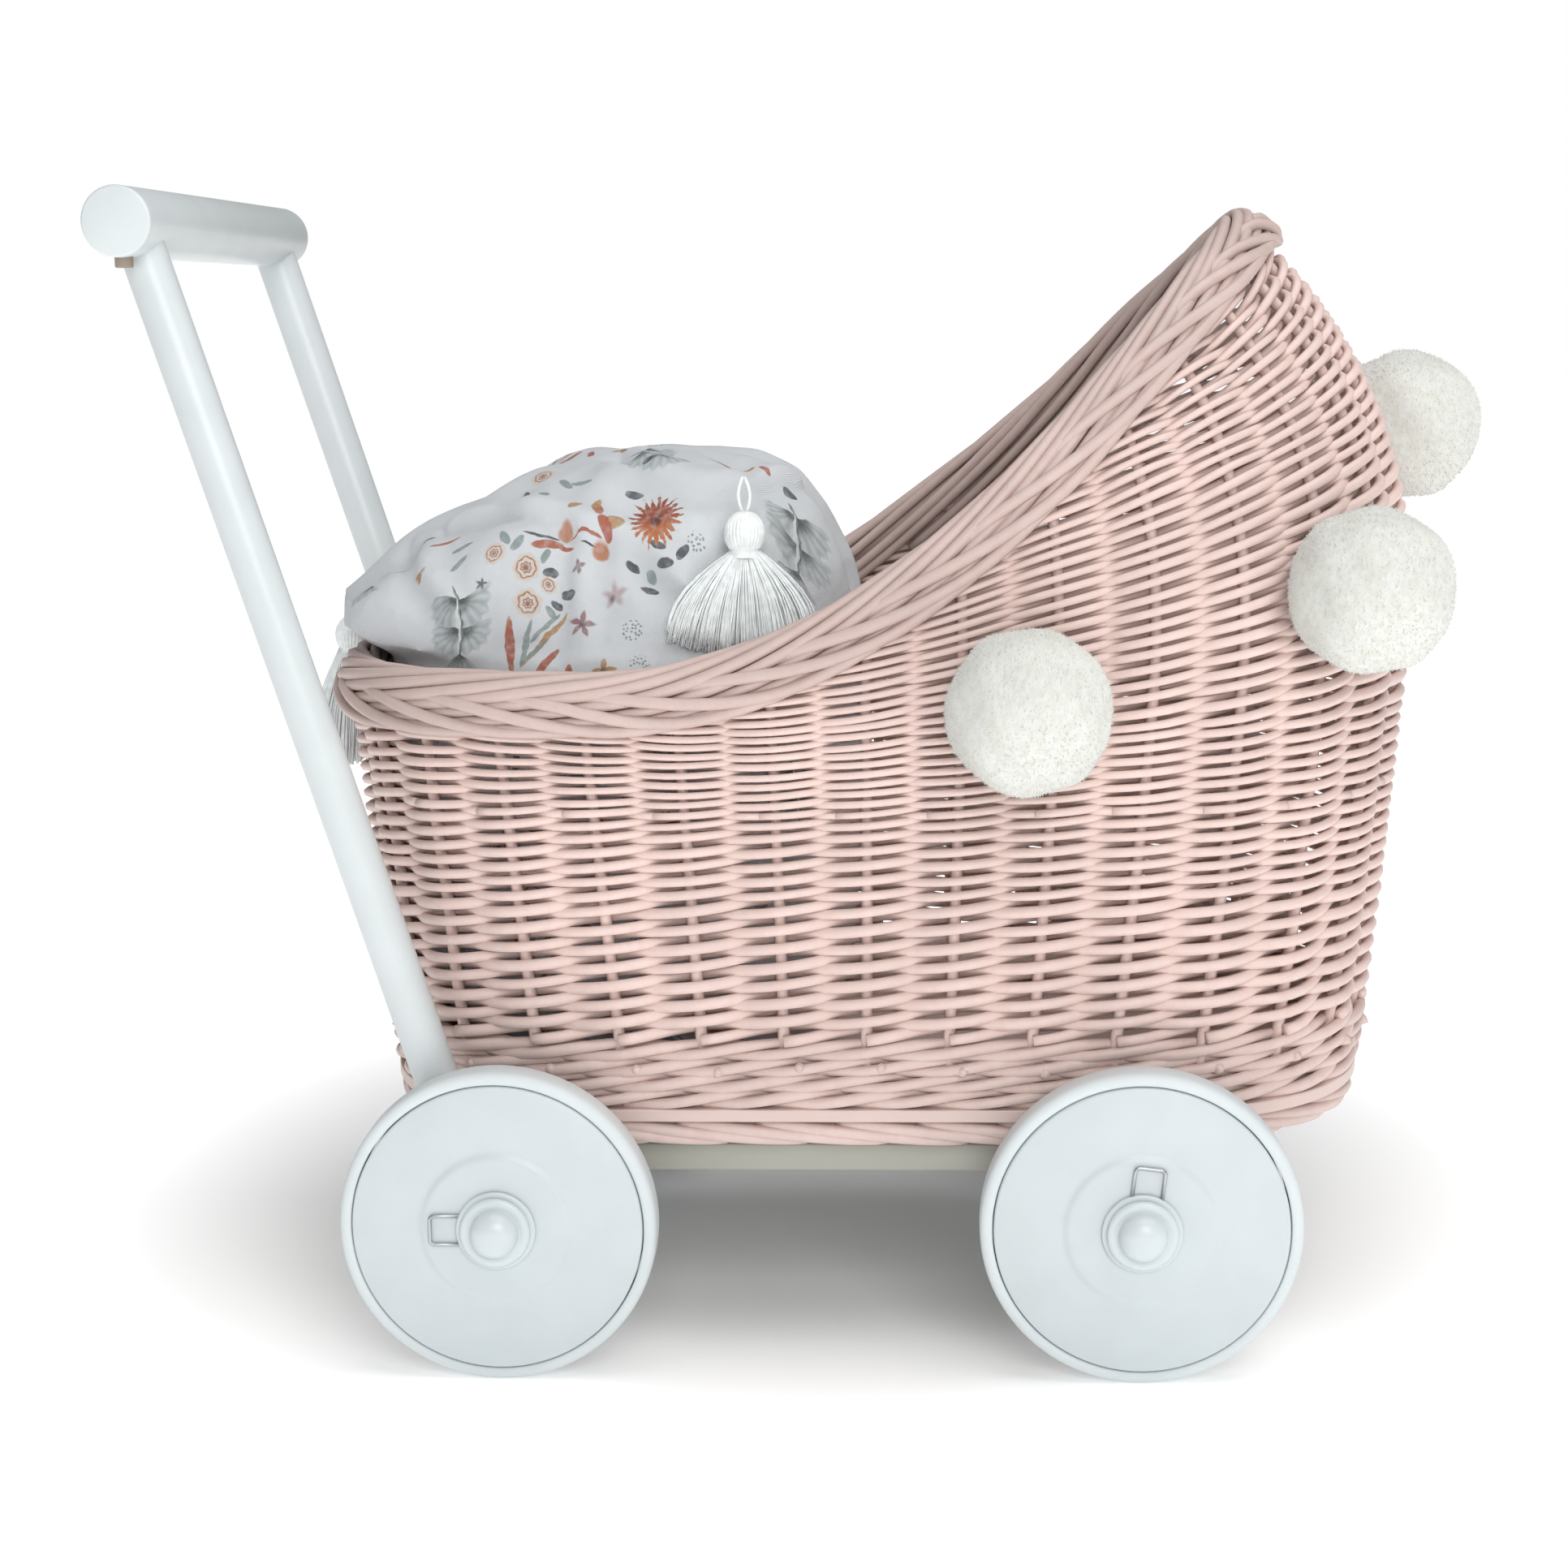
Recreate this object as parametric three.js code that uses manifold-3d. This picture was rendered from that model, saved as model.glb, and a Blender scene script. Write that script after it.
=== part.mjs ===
// Wicker doll stroller: an open willow basket with a swept-up hood, on a board with four wooden wheels,
// pushed by a round wooden handle. Millimetres, +X forwards (towards the hood), +Y to the left, +Z up.
// The origin is on the ground under the middle of the whole object.
import * as THREE from 'three';
import { ParametricGeometry } from 'three/addons/geometries/ParametricGeometry.js';
import { mergeVertices } from 'three/addons/utils/BufferGeometryUtils.js';
import Module from 'manifold-3d';

const wasm = await Module();
wasm.setup();

// ---- Driving dimensions -------------------------------------------------------------------------
const GAP = 0.3; // clearance between touching pieces

const REAR_AXLE_X = -146.9;
const WHEELBASE = 281;
const WHEEL_R = 70;
const DISC_R = 64.2; // wooden disc inside the tyre
const WHEEL_FACE_Y = 158; // outer face of each wheel from the middle plane
const WHEEL_T = 16;
const TYRE_SHOULDER = 3; // how far the tyre's outer edge sits behind the face
const BOSS_R = 32.5;
const BOSS_T = 1.6;
const AXLE_R = 4;
const AXLE_HALF = 171;
const AXLE_Z = WHEEL_R;

const BOARD_Z = [82, 95.2];
const BOARD_HALF_Y = 111.7;
const BOARD_X = [REAR_AXLE_X - 38, REAR_AXLE_X + 338];
const BOARD_CORNER_R = 34;
const BEAM_HALF_X = 20;
const BEAM_BOTTOM_Z = 57;

const GRIP_X = REAR_AXLE_X - 148.5;
const GRIP_Z = 505.3;
const GRIP_R = 15;
const GRIP_HALF = 148;
const ROD_R = 10;
const ROD_Y = 122;
const ROD_FOOT = [REAR_AXLE_X - 15.6, 79]; // x and z of the rod's lower end on its centreline

const FLOOR_Z = [108.4, 114.2]; // plywood floor of the basket
const FOOT_Z = [95.6, 108.1]; // twisted willow foot under the floor
const WALING_Z = [114.5, 144.7];
const WALL_HALF = 4.5; // half the thickness of the woven wall
const BORDER_R = [11, 14]; // half thickness and half height of the rolled border
const BORDER_GROWTH = 2; // how much taller the border is on the hood

const POMPOM_R = 37;

// ---- Shape of the basket ------------------------------------------------------------------------
// Every horizontal section is a closed curve: an oval nose at the front, straight sides, a rounder rear.
const SIDE_TOP_Z = 300; // above this height the walls draw in to form the hood
const BULGE_Z = 323; // height where the front stands furthest forwards
const NOSE_LENGTH = 120;
const NOSE_POWER = 2.3;
const TAIL_LENGTH = 110;
const TAIL_POWER = 2.3;
const SPLIT = [0.33, 0.72]; // shares of the way from nose to tail where the straight side starts and ends

const frontX = (z) => REAR_AXLE_X + (z < BULGE_Z
  ? 410.5 - 20 * ((BULGE_Z - z) / 213) ** 1.3
  : 410.5 - 63 * ((z - BULGE_Z) / 165) ** 2.6);
const rearX = (z) => REAR_AXLE_X - 66 - 0.09 * (Math.min(z, SIDE_TOP_Z) - 113);
const halfWidth = (z) => (z < SIDE_TOP_Z
  ? 123 + (5 * (z - 110)) / 190
  : 128 * Math.sqrt(Math.max(0, 1 - ((z - SIDE_TOP_Z) / 205) ** 2.2)));

// Point of the section at height z, a share t of the way round: 0 at the nose, -1 and 1 at the rear.
// inset moves it inwards from the outer face of the wall.
function sectionPoint(t, z, inset) {
  const s = Math.abs(t);
  const front = frontX(z) - inset;
  const rear = rearX(z) + inset;
  const half = halfWidth(z) - inset;
  let x;
  let y;
  if (s < SPLIT[0]) {
    const a = (s / SPLIT[0]) * (Math.PI / 2);
    x = front - NOSE_LENGTH + NOSE_LENGTH * Math.max(0, Math.cos(a)) ** (2 / NOSE_POWER);
    y = half * Math.sin(a) ** (2 / NOSE_POWER);
  } else if (s < SPLIT[1]) {
    x = THREE.MathUtils.mapLinear(s, SPLIT[0], SPLIT[1], front - NOSE_LENGTH, rear + TAIL_LENGTH);
    y = half;
  } else {
    const a = ((s - SPLIT[1]) / (1 - SPLIT[1])) * (Math.PI / 2);
    x = rear + TAIL_LENGTH - TAIL_LENGTH * Math.sin(a) ** (2 / TAIL_POWER);
    y = half * Math.max(0, Math.cos(a)) ** (2 / TAIL_POWER);
  }
  return new THREE.Vector3(x, t < 0 ? -y : y, z);
}

// Height of the middle of the rolled border over a point of the rim. The left side is woven a little higher.
const RIM_Z = 297;
const RIM_RISE = { from: REAR_AXLE_X + 45, straight: REAR_AXLE_X + 260, k: 0.0025 };
const RIM_LEFT_EXTRA = 12;
function rimHeight(x, t) {
  const run = Math.max(0, Math.min(x, RIM_RISE.straight) - RIM_RISE.from);
  const beyond = Math.max(0, x - RIM_RISE.straight);
  const span = RIM_RISE.straight - RIM_RISE.from;
  const climb = RIM_RISE.k * run * run + 2 * RIM_RISE.k * span * beyond;
  const share = THREE.MathUtils.clamp((x - RIM_RISE.from) / (REAR_AXLE_X + 335 - RIM_RISE.from), 0, 1);
  const extra = t > 0 ? RIM_LEFT_EXTRA * Math.sin(Math.PI * share) ** 2 : 0;
  return RIM_Z + climb + extra;
}

// Where the middle surface of the wall meets the rim, for the upright at share t.
function rimPoint(t) {
  let low = 250;
  let high = 520;
  for (let i = 0; i < 40; i += 1) {
    const z = (low + high) / 2;
    if (z < rimHeight(sectionPoint(t, z, WALL_HALF).x, t)) low = z;
    else high = z;
  }
  return sectionPoint(t, low, WALL_HALF);
}

// Tangent, outward normal and upward direction of the wall at the rim.
function rimFrame(t) {
  const step = 0.004;
  const at = rimPoint(t);
  const wrap = (s) => (s > 1 ? s - 2 : s < -1 ? s + 2 : s);
  const tangent = rimPoint(wrap(t + step)).sub(rimPoint(wrap(t - step))).normalize();
  const rise = at.clone().sub(sectionPoint(t, at.z - 6, WALL_HALF)).normalize();
  const normal = new THREE.Vector3().crossVectors(tangent, rise).normalize();
  const up = new THREE.Vector3().crossVectors(normal, tangent);
  return { at, normal, up };
}

// ---- Helpers ------------------------------------------------------------------------------------
const group = new THREE.Group();

function material(color, roughness, metalness = 0) {
  return new THREE.MeshStandardMaterial({ color, roughness, metalness });
}
const PAINTED_WOOD = () => material(0xd9e0df, 0.45);
const WHEEL_PAINT = () => material(0xdde5e6, 0.4);
const TYRE_RUBBER = () => material(0xdcdfd8, 0.7);
const STEEL = () => material(0x9aa0a2, 0.35, 0.9);
const WILLOW = () => material(0xd9bcb2, 0.6);
const YARN = () => material(0xeeeee9, 0.95);
const COTTON = () => material(0xe9ebec, 0.9);

// Merges the shared corners, drops slivers and makes every face point outwards.
function closed(geometry) {
  const bare = geometry.clone();
  bare.deleteAttribute('normal');
  bare.deleteAttribute('uv');
  const merged = mergeVertices(bare, 1e-3);
  const p = merged.getAttribute('position');
  const index = merged.getIndex().array;
  const kept = [];
  let volume = 0;
  const [a, b, c] = [new THREE.Vector3(), new THREE.Vector3(), new THREE.Vector3()];
  for (let i = 0; i < index.length; i += 3) {
    const [ia, ib, ic] = [index[i], index[i + 1], index[i + 2]];
    if (ia !== ib && ib !== ic && ia !== ic) {
      kept.push(ia, ib, ic);
      a.fromBufferAttribute(p, ia);
      b.fromBufferAttribute(p, ib);
      c.fromBufferAttribute(p, ic);
      volume += a.dot(b.cross(c));
    }
  }
  if (volume < 0) kept.reverse();
  merged.setIndex(kept);
  return merged;
}

function solid(geometry) {
  const merged = closed(geometry);
  return new wasm.Manifold(new wasm.Mesh({
    numProp: 3,
    vertProperties: new Float32Array(merged.getAttribute('position').array),
    triVerts: new Uint32Array(merged.getIndex().array),
  }));
}

function fromSolid(manifold) {
  const mesh = manifold.getMesh();
  const geometry = new THREE.BufferGeometry();
  geometry.setAttribute('position', new THREE.BufferAttribute(new Float32Array(mesh.vertProperties), 3));
  geometry.setIndex(new THREE.BufferAttribute(new Uint32Array(mesh.triVerts), 1));
  return geometry;
}

function add(name, geometry, look) {
  const mesh = new THREE.Mesh(closed(geometry), look);
  mesh.name = name;
  group.add(mesh);
  return mesh;
}

// A turned piece on an axis along Y: profile points are [radius, distance out along the side's Y].
function turned(profile, segments, side) {
  const points = profile.map(([r, out]) => new THREE.Vector2(r, out));
  const geometry = new THREE.LatheGeometry(points, segments);
  return side < 0 ? geometry.rotateX(Math.PI) : geometry;
}

const ring = (inner, outer, from, to) => [
  [inner, from], [outer, from], [outer, to], [inner, to], [inner, from],
];

// A round bar from one point to another.
function bar(from, to, radius, segments) {
  const [a, b] = [new THREE.Vector3(...from), new THREE.Vector3(...to)];
  const geometry = new THREE.CylinderGeometry(radius, radius, a.distanceTo(b), segments);
  const turn = new THREE.Quaternion().setFromUnitVectors(
    new THREE.Vector3(0, 1, 0),
    b.clone().sub(a).normalize(),
  );
  geometry.applyQuaternion(turn);
  const middle = a.add(b).multiplyScalar(0.5);
  return geometry.translate(middle.x, middle.y, middle.z);
}

// A ring that follows the basket's section: its cross-section is a list of [inset, z] corners.
function wallRing(corners, slices) {
  const loop = [...corners, corners[0]];
  const place = (u, v, target) => {
    const [inset, z] = loop[Math.round(v * corners.length)];
    target.copy(sectionPoint(u >= 1 ? -1 : 2 * u - 1, z, inset));
  };
  return new ParametricGeometry(place, slices, corners.length);
}

// A solid lofted through level sections { z, rear, front, half }, closed to a point at each end.
function lofted(sections, segments, power) {
  const last = sections.length - 1;
  const points = sections.map((s, i) => new THREE.Vector2(i === 0 || i === last ? 0 : 1, i));
  const geometry = new THREE.LatheGeometry(points, segments);
  const p = geometry.getAttribute('position');
  const shaped = (c) => Math.sign(c) * Math.abs(c) ** (2 / power);
  for (let i = 0; i < p.count; i += 1) {
    const s = sections[Math.round(p.getY(i))];
    const [cx, cy] = [shaped(p.getX(i)), shaped(p.getZ(i))];
    const middle = (s.front + s.rear) / 2;
    p.setXYZ(i, middle + (cx * (s.front - s.rear)) / 2, (s.y ?? 0) + cy * s.half, s.z);
  }
  return geometry;
}

// ---- Wheels and axles ---------------------------------------------------------------------------
const AXLES = { rear: REAR_AXLE_X, front: REAR_AXLE_X + WHEELBASE };
const SIDES = { right: -1, left: 1 };
const INNER_Y = WHEEL_FACE_Y - WHEEL_T;
const BORE_R = AXLE_R + 0.4;
const WASHER = { r: 17.5, t: 2 };
const CAP = { flangeR: 15.5, flangeT: 3, domeR: 10.5, domeT: 8 };
const CLIP = { wireR: 0.8, width: 13, reach: 29 };
const SPACER_R = 9;

function wheelDisc(side) {
  const face = WHEEL_FACE_Y;
  return turned([
    [BORE_R, INNER_Y], [DISC_R, INNER_Y], [DISC_R, face - 0.8], [DISC_R - 0.8, face],
    [BOSS_R + 1.8, face], [BOSS_R - 1.6, face + BOSS_T], [BORE_R, face + BOSS_T], [BORE_R, INNER_Y],
  ], 32, side);
}

function tyre(side) {
  const outer = WHEEL_FACE_Y - 0.6;
  const inner = DISC_R + GAP;
  return turned([
    [inner, INNER_Y], [WHEEL_R - 1.2, INNER_Y], [WHEEL_R, INNER_Y + 1.5], [WHEEL_R, outer - TYRE_SHOULDER],
    [WHEEL_R - 1.4, outer - 0.8], [inner, outer], [inner, INNER_Y],
  ], 36, side);
}

// The cap is a turned knob, blind-bored over the end of the axle.
function hubCap(side, from) {
  const { flangeR, flangeT, domeR, domeT } = CAP;
  const dome = [];
  for (let i = 1; i <= 3; i += 1) {
    const a = (i / 3) * (Math.PI / 2);
    dome.push([i < 3 ? domeR * Math.cos(a) ** 0.8 : 0, from + flangeT + 2 + (domeT - 2) * Math.sin(a)]);
  }
  return turned([
    [0, AXLE_HALF + GAP], [BORE_R, AXLE_HALF + GAP], [BORE_R, from], [flangeR - 0.8, from],
    [flangeR, from + 1.5], [flangeR - 0.6, from + flangeT], [domeR, from + flangeT], ...dome,
  ], 18, side);
}

// A wire staple lying flat between the washer and the boss, with its closed end out past the washer.
class StapleCurve extends THREE.CurvePath {
  constructor({ width, reach }) {
    super();
    const half = width / 2;
    const corner = 2.2;
    const start = WASHER.r + GAP; // the legs go on under the washer in the real one
    const points = [[start, -half], [reach - corner, -half], [reach, -half + corner],
      [reach, half - corner], [reach - corner, half], [start, half]];
    const at = points.map(([x, y]) => new THREE.Vector3(x, y, 0));
    this.add(new THREE.LineCurve3(at[0], at[1]));
    this.add(new THREE.QuadraticBezierCurve3(at[1], new THREE.Vector3(reach, -half, 0), at[2]));
    this.add(new THREE.LineCurve3(at[2], at[3]));
    this.add(new THREE.QuadraticBezierCurve3(at[3], new THREE.Vector3(reach, half, 0), at[4]));
    this.add(new THREE.LineCurve3(at[4], at[5]));
  }
}

function wireSection(radius, sides) {
  const shape = new THREE.Shape();
  for (let i = 0; i < sides; i += 1) {
    const a = (i / sides) * 2 * Math.PI;
    if (i === 0) shape.moveTo(radius, 0);
    else shape.lineTo(radius * Math.cos(a), radius * Math.sin(a));
  }
  shape.closePath();
  return shape;
}

// The staple points backwards on the rear wheels and upwards on the front ones.
function hubClip(side, turn) {
  const geometry = new THREE.ExtrudeGeometry(wireSection(CLIP.wireR, 6), {
    steps: 14,
    extrudePath: new StapleCurve(CLIP),
  });
  geometry.rotateX(Math.PI / 2);
  geometry.rotateY(-turn);
  return geometry.translate(0, side * (WHEEL_FACE_Y + BOSS_T + GAP + CLIP.wireR), 0);
}

const CLIP_TURN = { rear: Math.PI, front: Math.PI / 2 };
// The washer stands on the boss, and the staple's legs end at its edge.
const WASHER_Y = WHEEL_FACE_Y + BOSS_T + GAP;
const CAP_Y = WASHER_Y + WASHER.t + GAP;

for (const [end, x] of Object.entries(AXLES)) {
  add(`${end}_axle`, bar([x, -AXLE_HALF, AXLE_Z], [x, AXLE_HALF, AXLE_Z], AXLE_R, 16), STEEL());
  for (const [hand, side] of Object.entries(SIDES)) {
    const where = `${end}_${hand}`;
    const place = (geometry) => geometry.translate(x, 0, AXLE_Z);
    add(`wheel_${where}`, place(wheelDisc(side)), WHEEL_PAINT());
    add(`tyre_${where}`, place(tyre(side)), TYRE_RUBBER());
    add(`spacer_${where}`, place(turned(ring(BORE_R, SPACER_R, BOARD_HALF_Y + GAP, INNER_Y - GAP), 16, side)),
      STEEL());
    add(`hub_washer_${where}`, place(turned(ring(BORE_R, WASHER.r, WASHER_Y, WASHER_Y + WASHER.t), 18, side)),
      PAINTED_WOOD());
    add(`hub_cap_${where}`, place(hubCap(side, CAP_Y)), PAINTED_WOOD());
    add(`hub_clip_${where}`, place(hubClip(side, CLIP_TURN[end])), STEEL());
  }
}

// ---- Board and axle beams -----------------------------------------------------------------------
function roundedRect(x0, x1, halfY, radius) {
  const s = new THREE.Shape();
  s.moveTo(x0 + radius, -halfY);
  s.lineTo(x1 - radius, -halfY);
  s.absarc(x1 - radius, -halfY + radius, radius, -Math.PI / 2, 0, false);
  s.absarc(x1 - radius, halfY - radius, radius, 0, Math.PI / 2, false);
  s.absarc(x0 + radius, halfY - radius, radius, Math.PI / 2, Math.PI, false);
  s.absarc(x0 + radius, -halfY + radius, radius, Math.PI, 1.5 * Math.PI, false);
  return s;
}

function slab(shape, [z0, z1]) {
  return new THREE.ExtrudeGeometry(shape, { depth: z1 - z0, bevelEnabled: false, curveSegments: 6 })
    .translate(0, 0, z0);
}

const upright = (x, y, z0, z1, radius, segments) => bar([x, y, z0], [x, y, z1], radius, segments);
const drill = (body, cutters) => cutters.reduce((left, c) => left.subtract(solid(c)), body);

const BASKET_SCREW = { r: 2, headR: 4.5, headT: 2.4, xs: [REAR_AXLE_X + 60, REAR_AXLE_X + 235], y: 70 };
const BEAM_SCREW = { r: 2.4, headR: 5, headT: 2.6, y: 75 };
const HANDLE_BOLT = { r: 2.6, headR: 6, headT: 3, z: 88.6, depth: 22 };
const rodX = (z) => ROD_FOOT[0] + ((GRIP_X - ROD_FOOT[0]) * (z - ROD_FOOT[1])) / (GRIP_Z - ROD_FOOT[1]);

// A pan-head screw driven upwards from z, with its head under the surface at z.
function upScrew({ r, headR, headT }, x, y, z, top) {
  return new THREE.LatheGeometry([
    new THREE.Vector2(0, z - headT - GAP), new THREE.Vector2(headR - 1, z - headT - GAP),
    new THREE.Vector2(headR, z - 1 - GAP), new THREE.Vector2(headR, z - GAP),
    new THREE.Vector2(r, z - GAP), new THREE.Vector2(r, top - 2), new THREE.Vector2(0, top),
  ], 12).rotateX(Math.PI / 2).translate(x, y, 0);
}

const basketScrews = [];
for (const x of BASKET_SCREW.xs) {
  for (const side of [-1, 1]) basketScrews.push([x, side * BASKET_SCREW.y]);
}
const beamScrews = [];
for (const x of Object.values(AXLES)) {
  for (const side of [-1, 1]) beamScrews.push([x + 12, side * BEAM_SCREW.y]);
}

const boltHoles = Object.values(SIDES).map((side) => bar(
  [rodX(HANDLE_BOLT.z), side * (BOARD_HALF_Y - HANDLE_BOLT.depth), HANDLE_BOLT.z],
  [rodX(HANDLE_BOLT.z), side * (ROD_Y + 20), HANDLE_BOLT.z],
  HANDLE_BOLT.r + GAP,
  12,
));
const screwHoles = (list, screw, z0, z1) => list.map(([x, y]) => upright(x, y, z0, z1, screw.r + GAP, 12));

add('base_board', fromSolid(drill(
  solid(slab(roundedRect(...BOARD_X, BOARD_HALF_Y, BOARD_CORNER_R), BOARD_Z)),
  [
    ...screwHoles(basketScrews, BASKET_SCREW, BOARD_Z[0] - 5, BOARD_Z[1] + 5),
    ...screwHoles(beamScrews, BEAM_SCREW, BOARD_Z[0] - 5, BOARD_Z[1] - 3),
    ...boltHoles,
  ],
)), PAINTED_WOOD());

for (const [end, x] of Object.entries(AXLES)) {
  const blockHeight = BOARD_Z[0] - GAP - BEAM_BOTTOM_Z;
  const block = new THREE.BoxGeometry(2 * BEAM_HALF_X, 2 * BOARD_HALF_Y, blockHeight)
    .translate(x, 0, BEAM_BOTTOM_Z + blockHeight / 2);
  const bore = bar([x, -200, AXLE_Z], [x, 200, AXLE_Z], AXLE_R + GAP, 16);
  const holes = beamScrews.filter(([sx]) => Math.abs(sx - x) < BEAM_HALF_X);
  add(`${end}_axle_beam`, fromSolid(drill(
    solid(block),
    [bore, ...screwHoles(holes, BEAM_SCREW, BEAM_BOTTOM_Z - 5, BOARD_Z[0] + 5)],
  )), PAINTED_WOOD());
}

basketScrews.forEach(([x, y], i) => {
  add(`basket_screw_${i + 1}`, upScrew(BASKET_SCREW, x, y, BOARD_Z[0], FLOOR_Z[1] - 1.2), STEEL());
});
beamScrews.forEach(([x, y], i) => {
  add(`beam_screw_${i + 1}`, upScrew(BEAM_SCREW, x, y, BEAM_BOTTOM_Z, BOARD_Z[1] - 3.6), STEEL());
});

// ---- Handle -------------------------------------------------------------------------------------
// The rods run up into blind sockets in the grip bar, and each is pinned there by a screw from below.
const rodDirection = new THREE.Vector3(GRIP_X - ROD_FOOT[0], 0, GRIP_Z - ROD_FOOT[1]).normalize();
const SOCKET_DEPTH = 4; // the rod's end stops this far short of the bar's centreline
const PEG = { r: 3.2, y: 138, out: 4.2, deep: 10, headR: 3.9 };

const gripSockets = Object.values(SIDES).map((side) => {
  const seat = SOCKET_DEPTH - GAP;
  const top = [GRIP_X - rodDirection.x * seat, side * ROD_Y, GRIP_Z - rodDirection.z * seat];
  const low = [GRIP_X - rodDirection.x * 40, side * ROD_Y, GRIP_Z - rodDirection.z * 40];
  return bar(low, top, ROD_R + GAP, 20);
});
const pegHoles = Object.values(SIDES).map((side) => upright(
  GRIP_X,
  side * PEG.y,
  GRIP_Z - GRIP_R - 5,
  GRIP_Z - GRIP_R + PEG.deep + GAP,
  PEG.r + GAP,
  12,
));
const gripBar = new THREE.LatheGeometry([
  [0, -GRIP_HALF], [GRIP_R - 0.8, -GRIP_HALF], [GRIP_R, -GRIP_HALF + 0.8],
  [GRIP_R, GRIP_HALF - 0.8], [GRIP_R - 0.8, GRIP_HALF], [0, GRIP_HALF],
].map(([r, y]) => new THREE.Vector2(r, y)), 32).translate(GRIP_X, 0, GRIP_Z);
add('grip_bar', fromSolid(drill(solid(gripBar), [...gripSockets, ...pegHoles])), PAINTED_WOOD());

for (const [hand, side] of Object.entries(SIDES)) {
  const top = [GRIP_X - rodDirection.x * SOCKET_DEPTH, side * ROD_Y, GRIP_Z - rodDirection.z * SOCKET_DEPTH];
  const foot = [ROD_FOOT[0], side * ROD_Y, ROD_FOOT[1]];
  const rod = solid(bar(foot, top, ROD_R, 20));
  add(`handle_rod_${hand}`, fromSolid(drill(rod, boltHoles)), PAINTED_WOOD());

  const head = side * (ROD_Y + ROD_R + GAP);
  const shank = ROD_Y + ROD_R + GAP - BOARD_HALF_Y + HANDLE_BOLT.depth - 1;
  const headEnd = shank + HANDLE_BOLT.headT;
  const bolt = new THREE.LatheGeometry([
    [0, 0], [HANDLE_BOLT.r, 1.5], [HANDLE_BOLT.r, shank],
    [HANDLE_BOLT.headR, shank], [HANDLE_BOLT.headR - 1, headEnd - 1], [0, headEnd],
  ].map(([r, y]) => new THREE.Vector2(r, y)), 14);
  if (side < 0) bolt.rotateX(Math.PI);
  bolt.translate(rodX(HANDLE_BOLT.z), head - side * shank, HANDLE_BOLT.z);
  add(`handle_bolt_${hand}`, bolt, STEEL());

  const peg = new THREE.LatheGeometry([
    [0, -PEG.out], [PEG.headR, -PEG.out], [PEG.headR, -GAP],
    [PEG.r, -GAP], [PEG.r, PEG.deep - 0.5], [0, PEG.deep - 0.5],
  ].map(([r, y]) => new THREE.Vector2(r, y)), 12).rotateX(Math.PI / 2);
  add(`grip_peg_${hand}`, peg.translate(GRIP_X, side * PEG.y, GRIP_Z - GRIP_R), STEEL());
}

// ---- Basket -------------------------------------------------------------------------------------
const AROUND = 48;

function sectionShape(z, inset, count) {
  const shape = new THREE.Shape();
  for (let i = 0; i < count; i += 1) {
    const p = sectionPoint((2 * i) / count - 1, z, inset);
    if (i === 0) shape.moveTo(p.x, p.y);
    else shape.lineTo(p.x, p.y);
  }
  shape.closePath();
  return shape;
}

const floor = solid(slab(sectionShape(FLOOR_Z[0], -0.6, AROUND), FLOOR_Z));
add('basket_floor', fromSolid(drill(
  floor,
  screwHoles(basketScrews, BASKET_SCREW, FLOOR_Z[0] - 5, FLOOR_Z[1] - 0.8),
)), WILLOW());

add('foot_border', wallRing([
  [-0.6, (FOOT_Z[0] + FOOT_Z[1]) / 2], [2, FOOT_Z[1]], [7, FOOT_Z[1]],
  [9.6, (FOOT_Z[0] + FOOT_Z[1]) / 2], [7, FOOT_Z[0]], [2, FOOT_Z[0]],
], AROUND), WILLOW());

add('waling_band', wallRing([
  [-1.5, WALING_Z[0]], [-1.5, WALING_Z[1] - 4], [0, WALING_Z[1]],
  [2 * WALL_HALF, WALING_Z[1]], [2 * WALL_HALF + 1, WALING_Z[0]],
], AROUND), WILLOW());

// The woven wall, closed round its thickness, stands on the waling and ends just under the border.
const WALL_LEVELS = 8;
const RIM_SAMPLES = 160;
const rimLine = Array.from({ length: RIM_SAMPLES }, (_, i) => rimPoint((2 * i) / RIM_SAMPLES - 1));

function wallTop(t) {
  const clear = BORDER_R[1] + BORDER_GROWTH + 2 * GAP;
  const isClear = (z) => [0, WALL_HALF, 2 * WALL_HALF].every((inset) => {
    const p = sectionPoint(t, z, inset);
    return rimLine.every((q) => q.distanceTo(p) > clear);
  });
  let low = SIDE_TOP_Z - 60;
  let high = rimPoint(t).z;
  for (let i = 0; i < 24; i += 1) {
    const z = (low + high) / 2;
    if (isClear(z)) low = z;
    else high = z;
  }
  return low;
}

function wallGeometry() {
  const rings = 2 * WALL_LEVELS;
  const tops = new Map();
  const place = (u, v, target) => {
    const t = u >= 1 ? -1 : 2 * u - 1;
    const k = Math.round(v * rings) % rings;
    const outside = k < WALL_LEVELS;
    const level = (outside ? k : rings - 1 - k) / (WALL_LEVELS - 1);
    const z = THREE.MathUtils.lerp(WALING_Z[1] + GAP, tops.get(t) ?? tops.set(t, wallTop(t)).get(t), level);
    target.copy(sectionPoint(t, z, outside ? 0 : 2 * WALL_HALF));
  };
  return new ParametricGeometry(place, AROUND, rings);
}
add('basket_wall', wallGeometry(), WILLOW());

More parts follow.
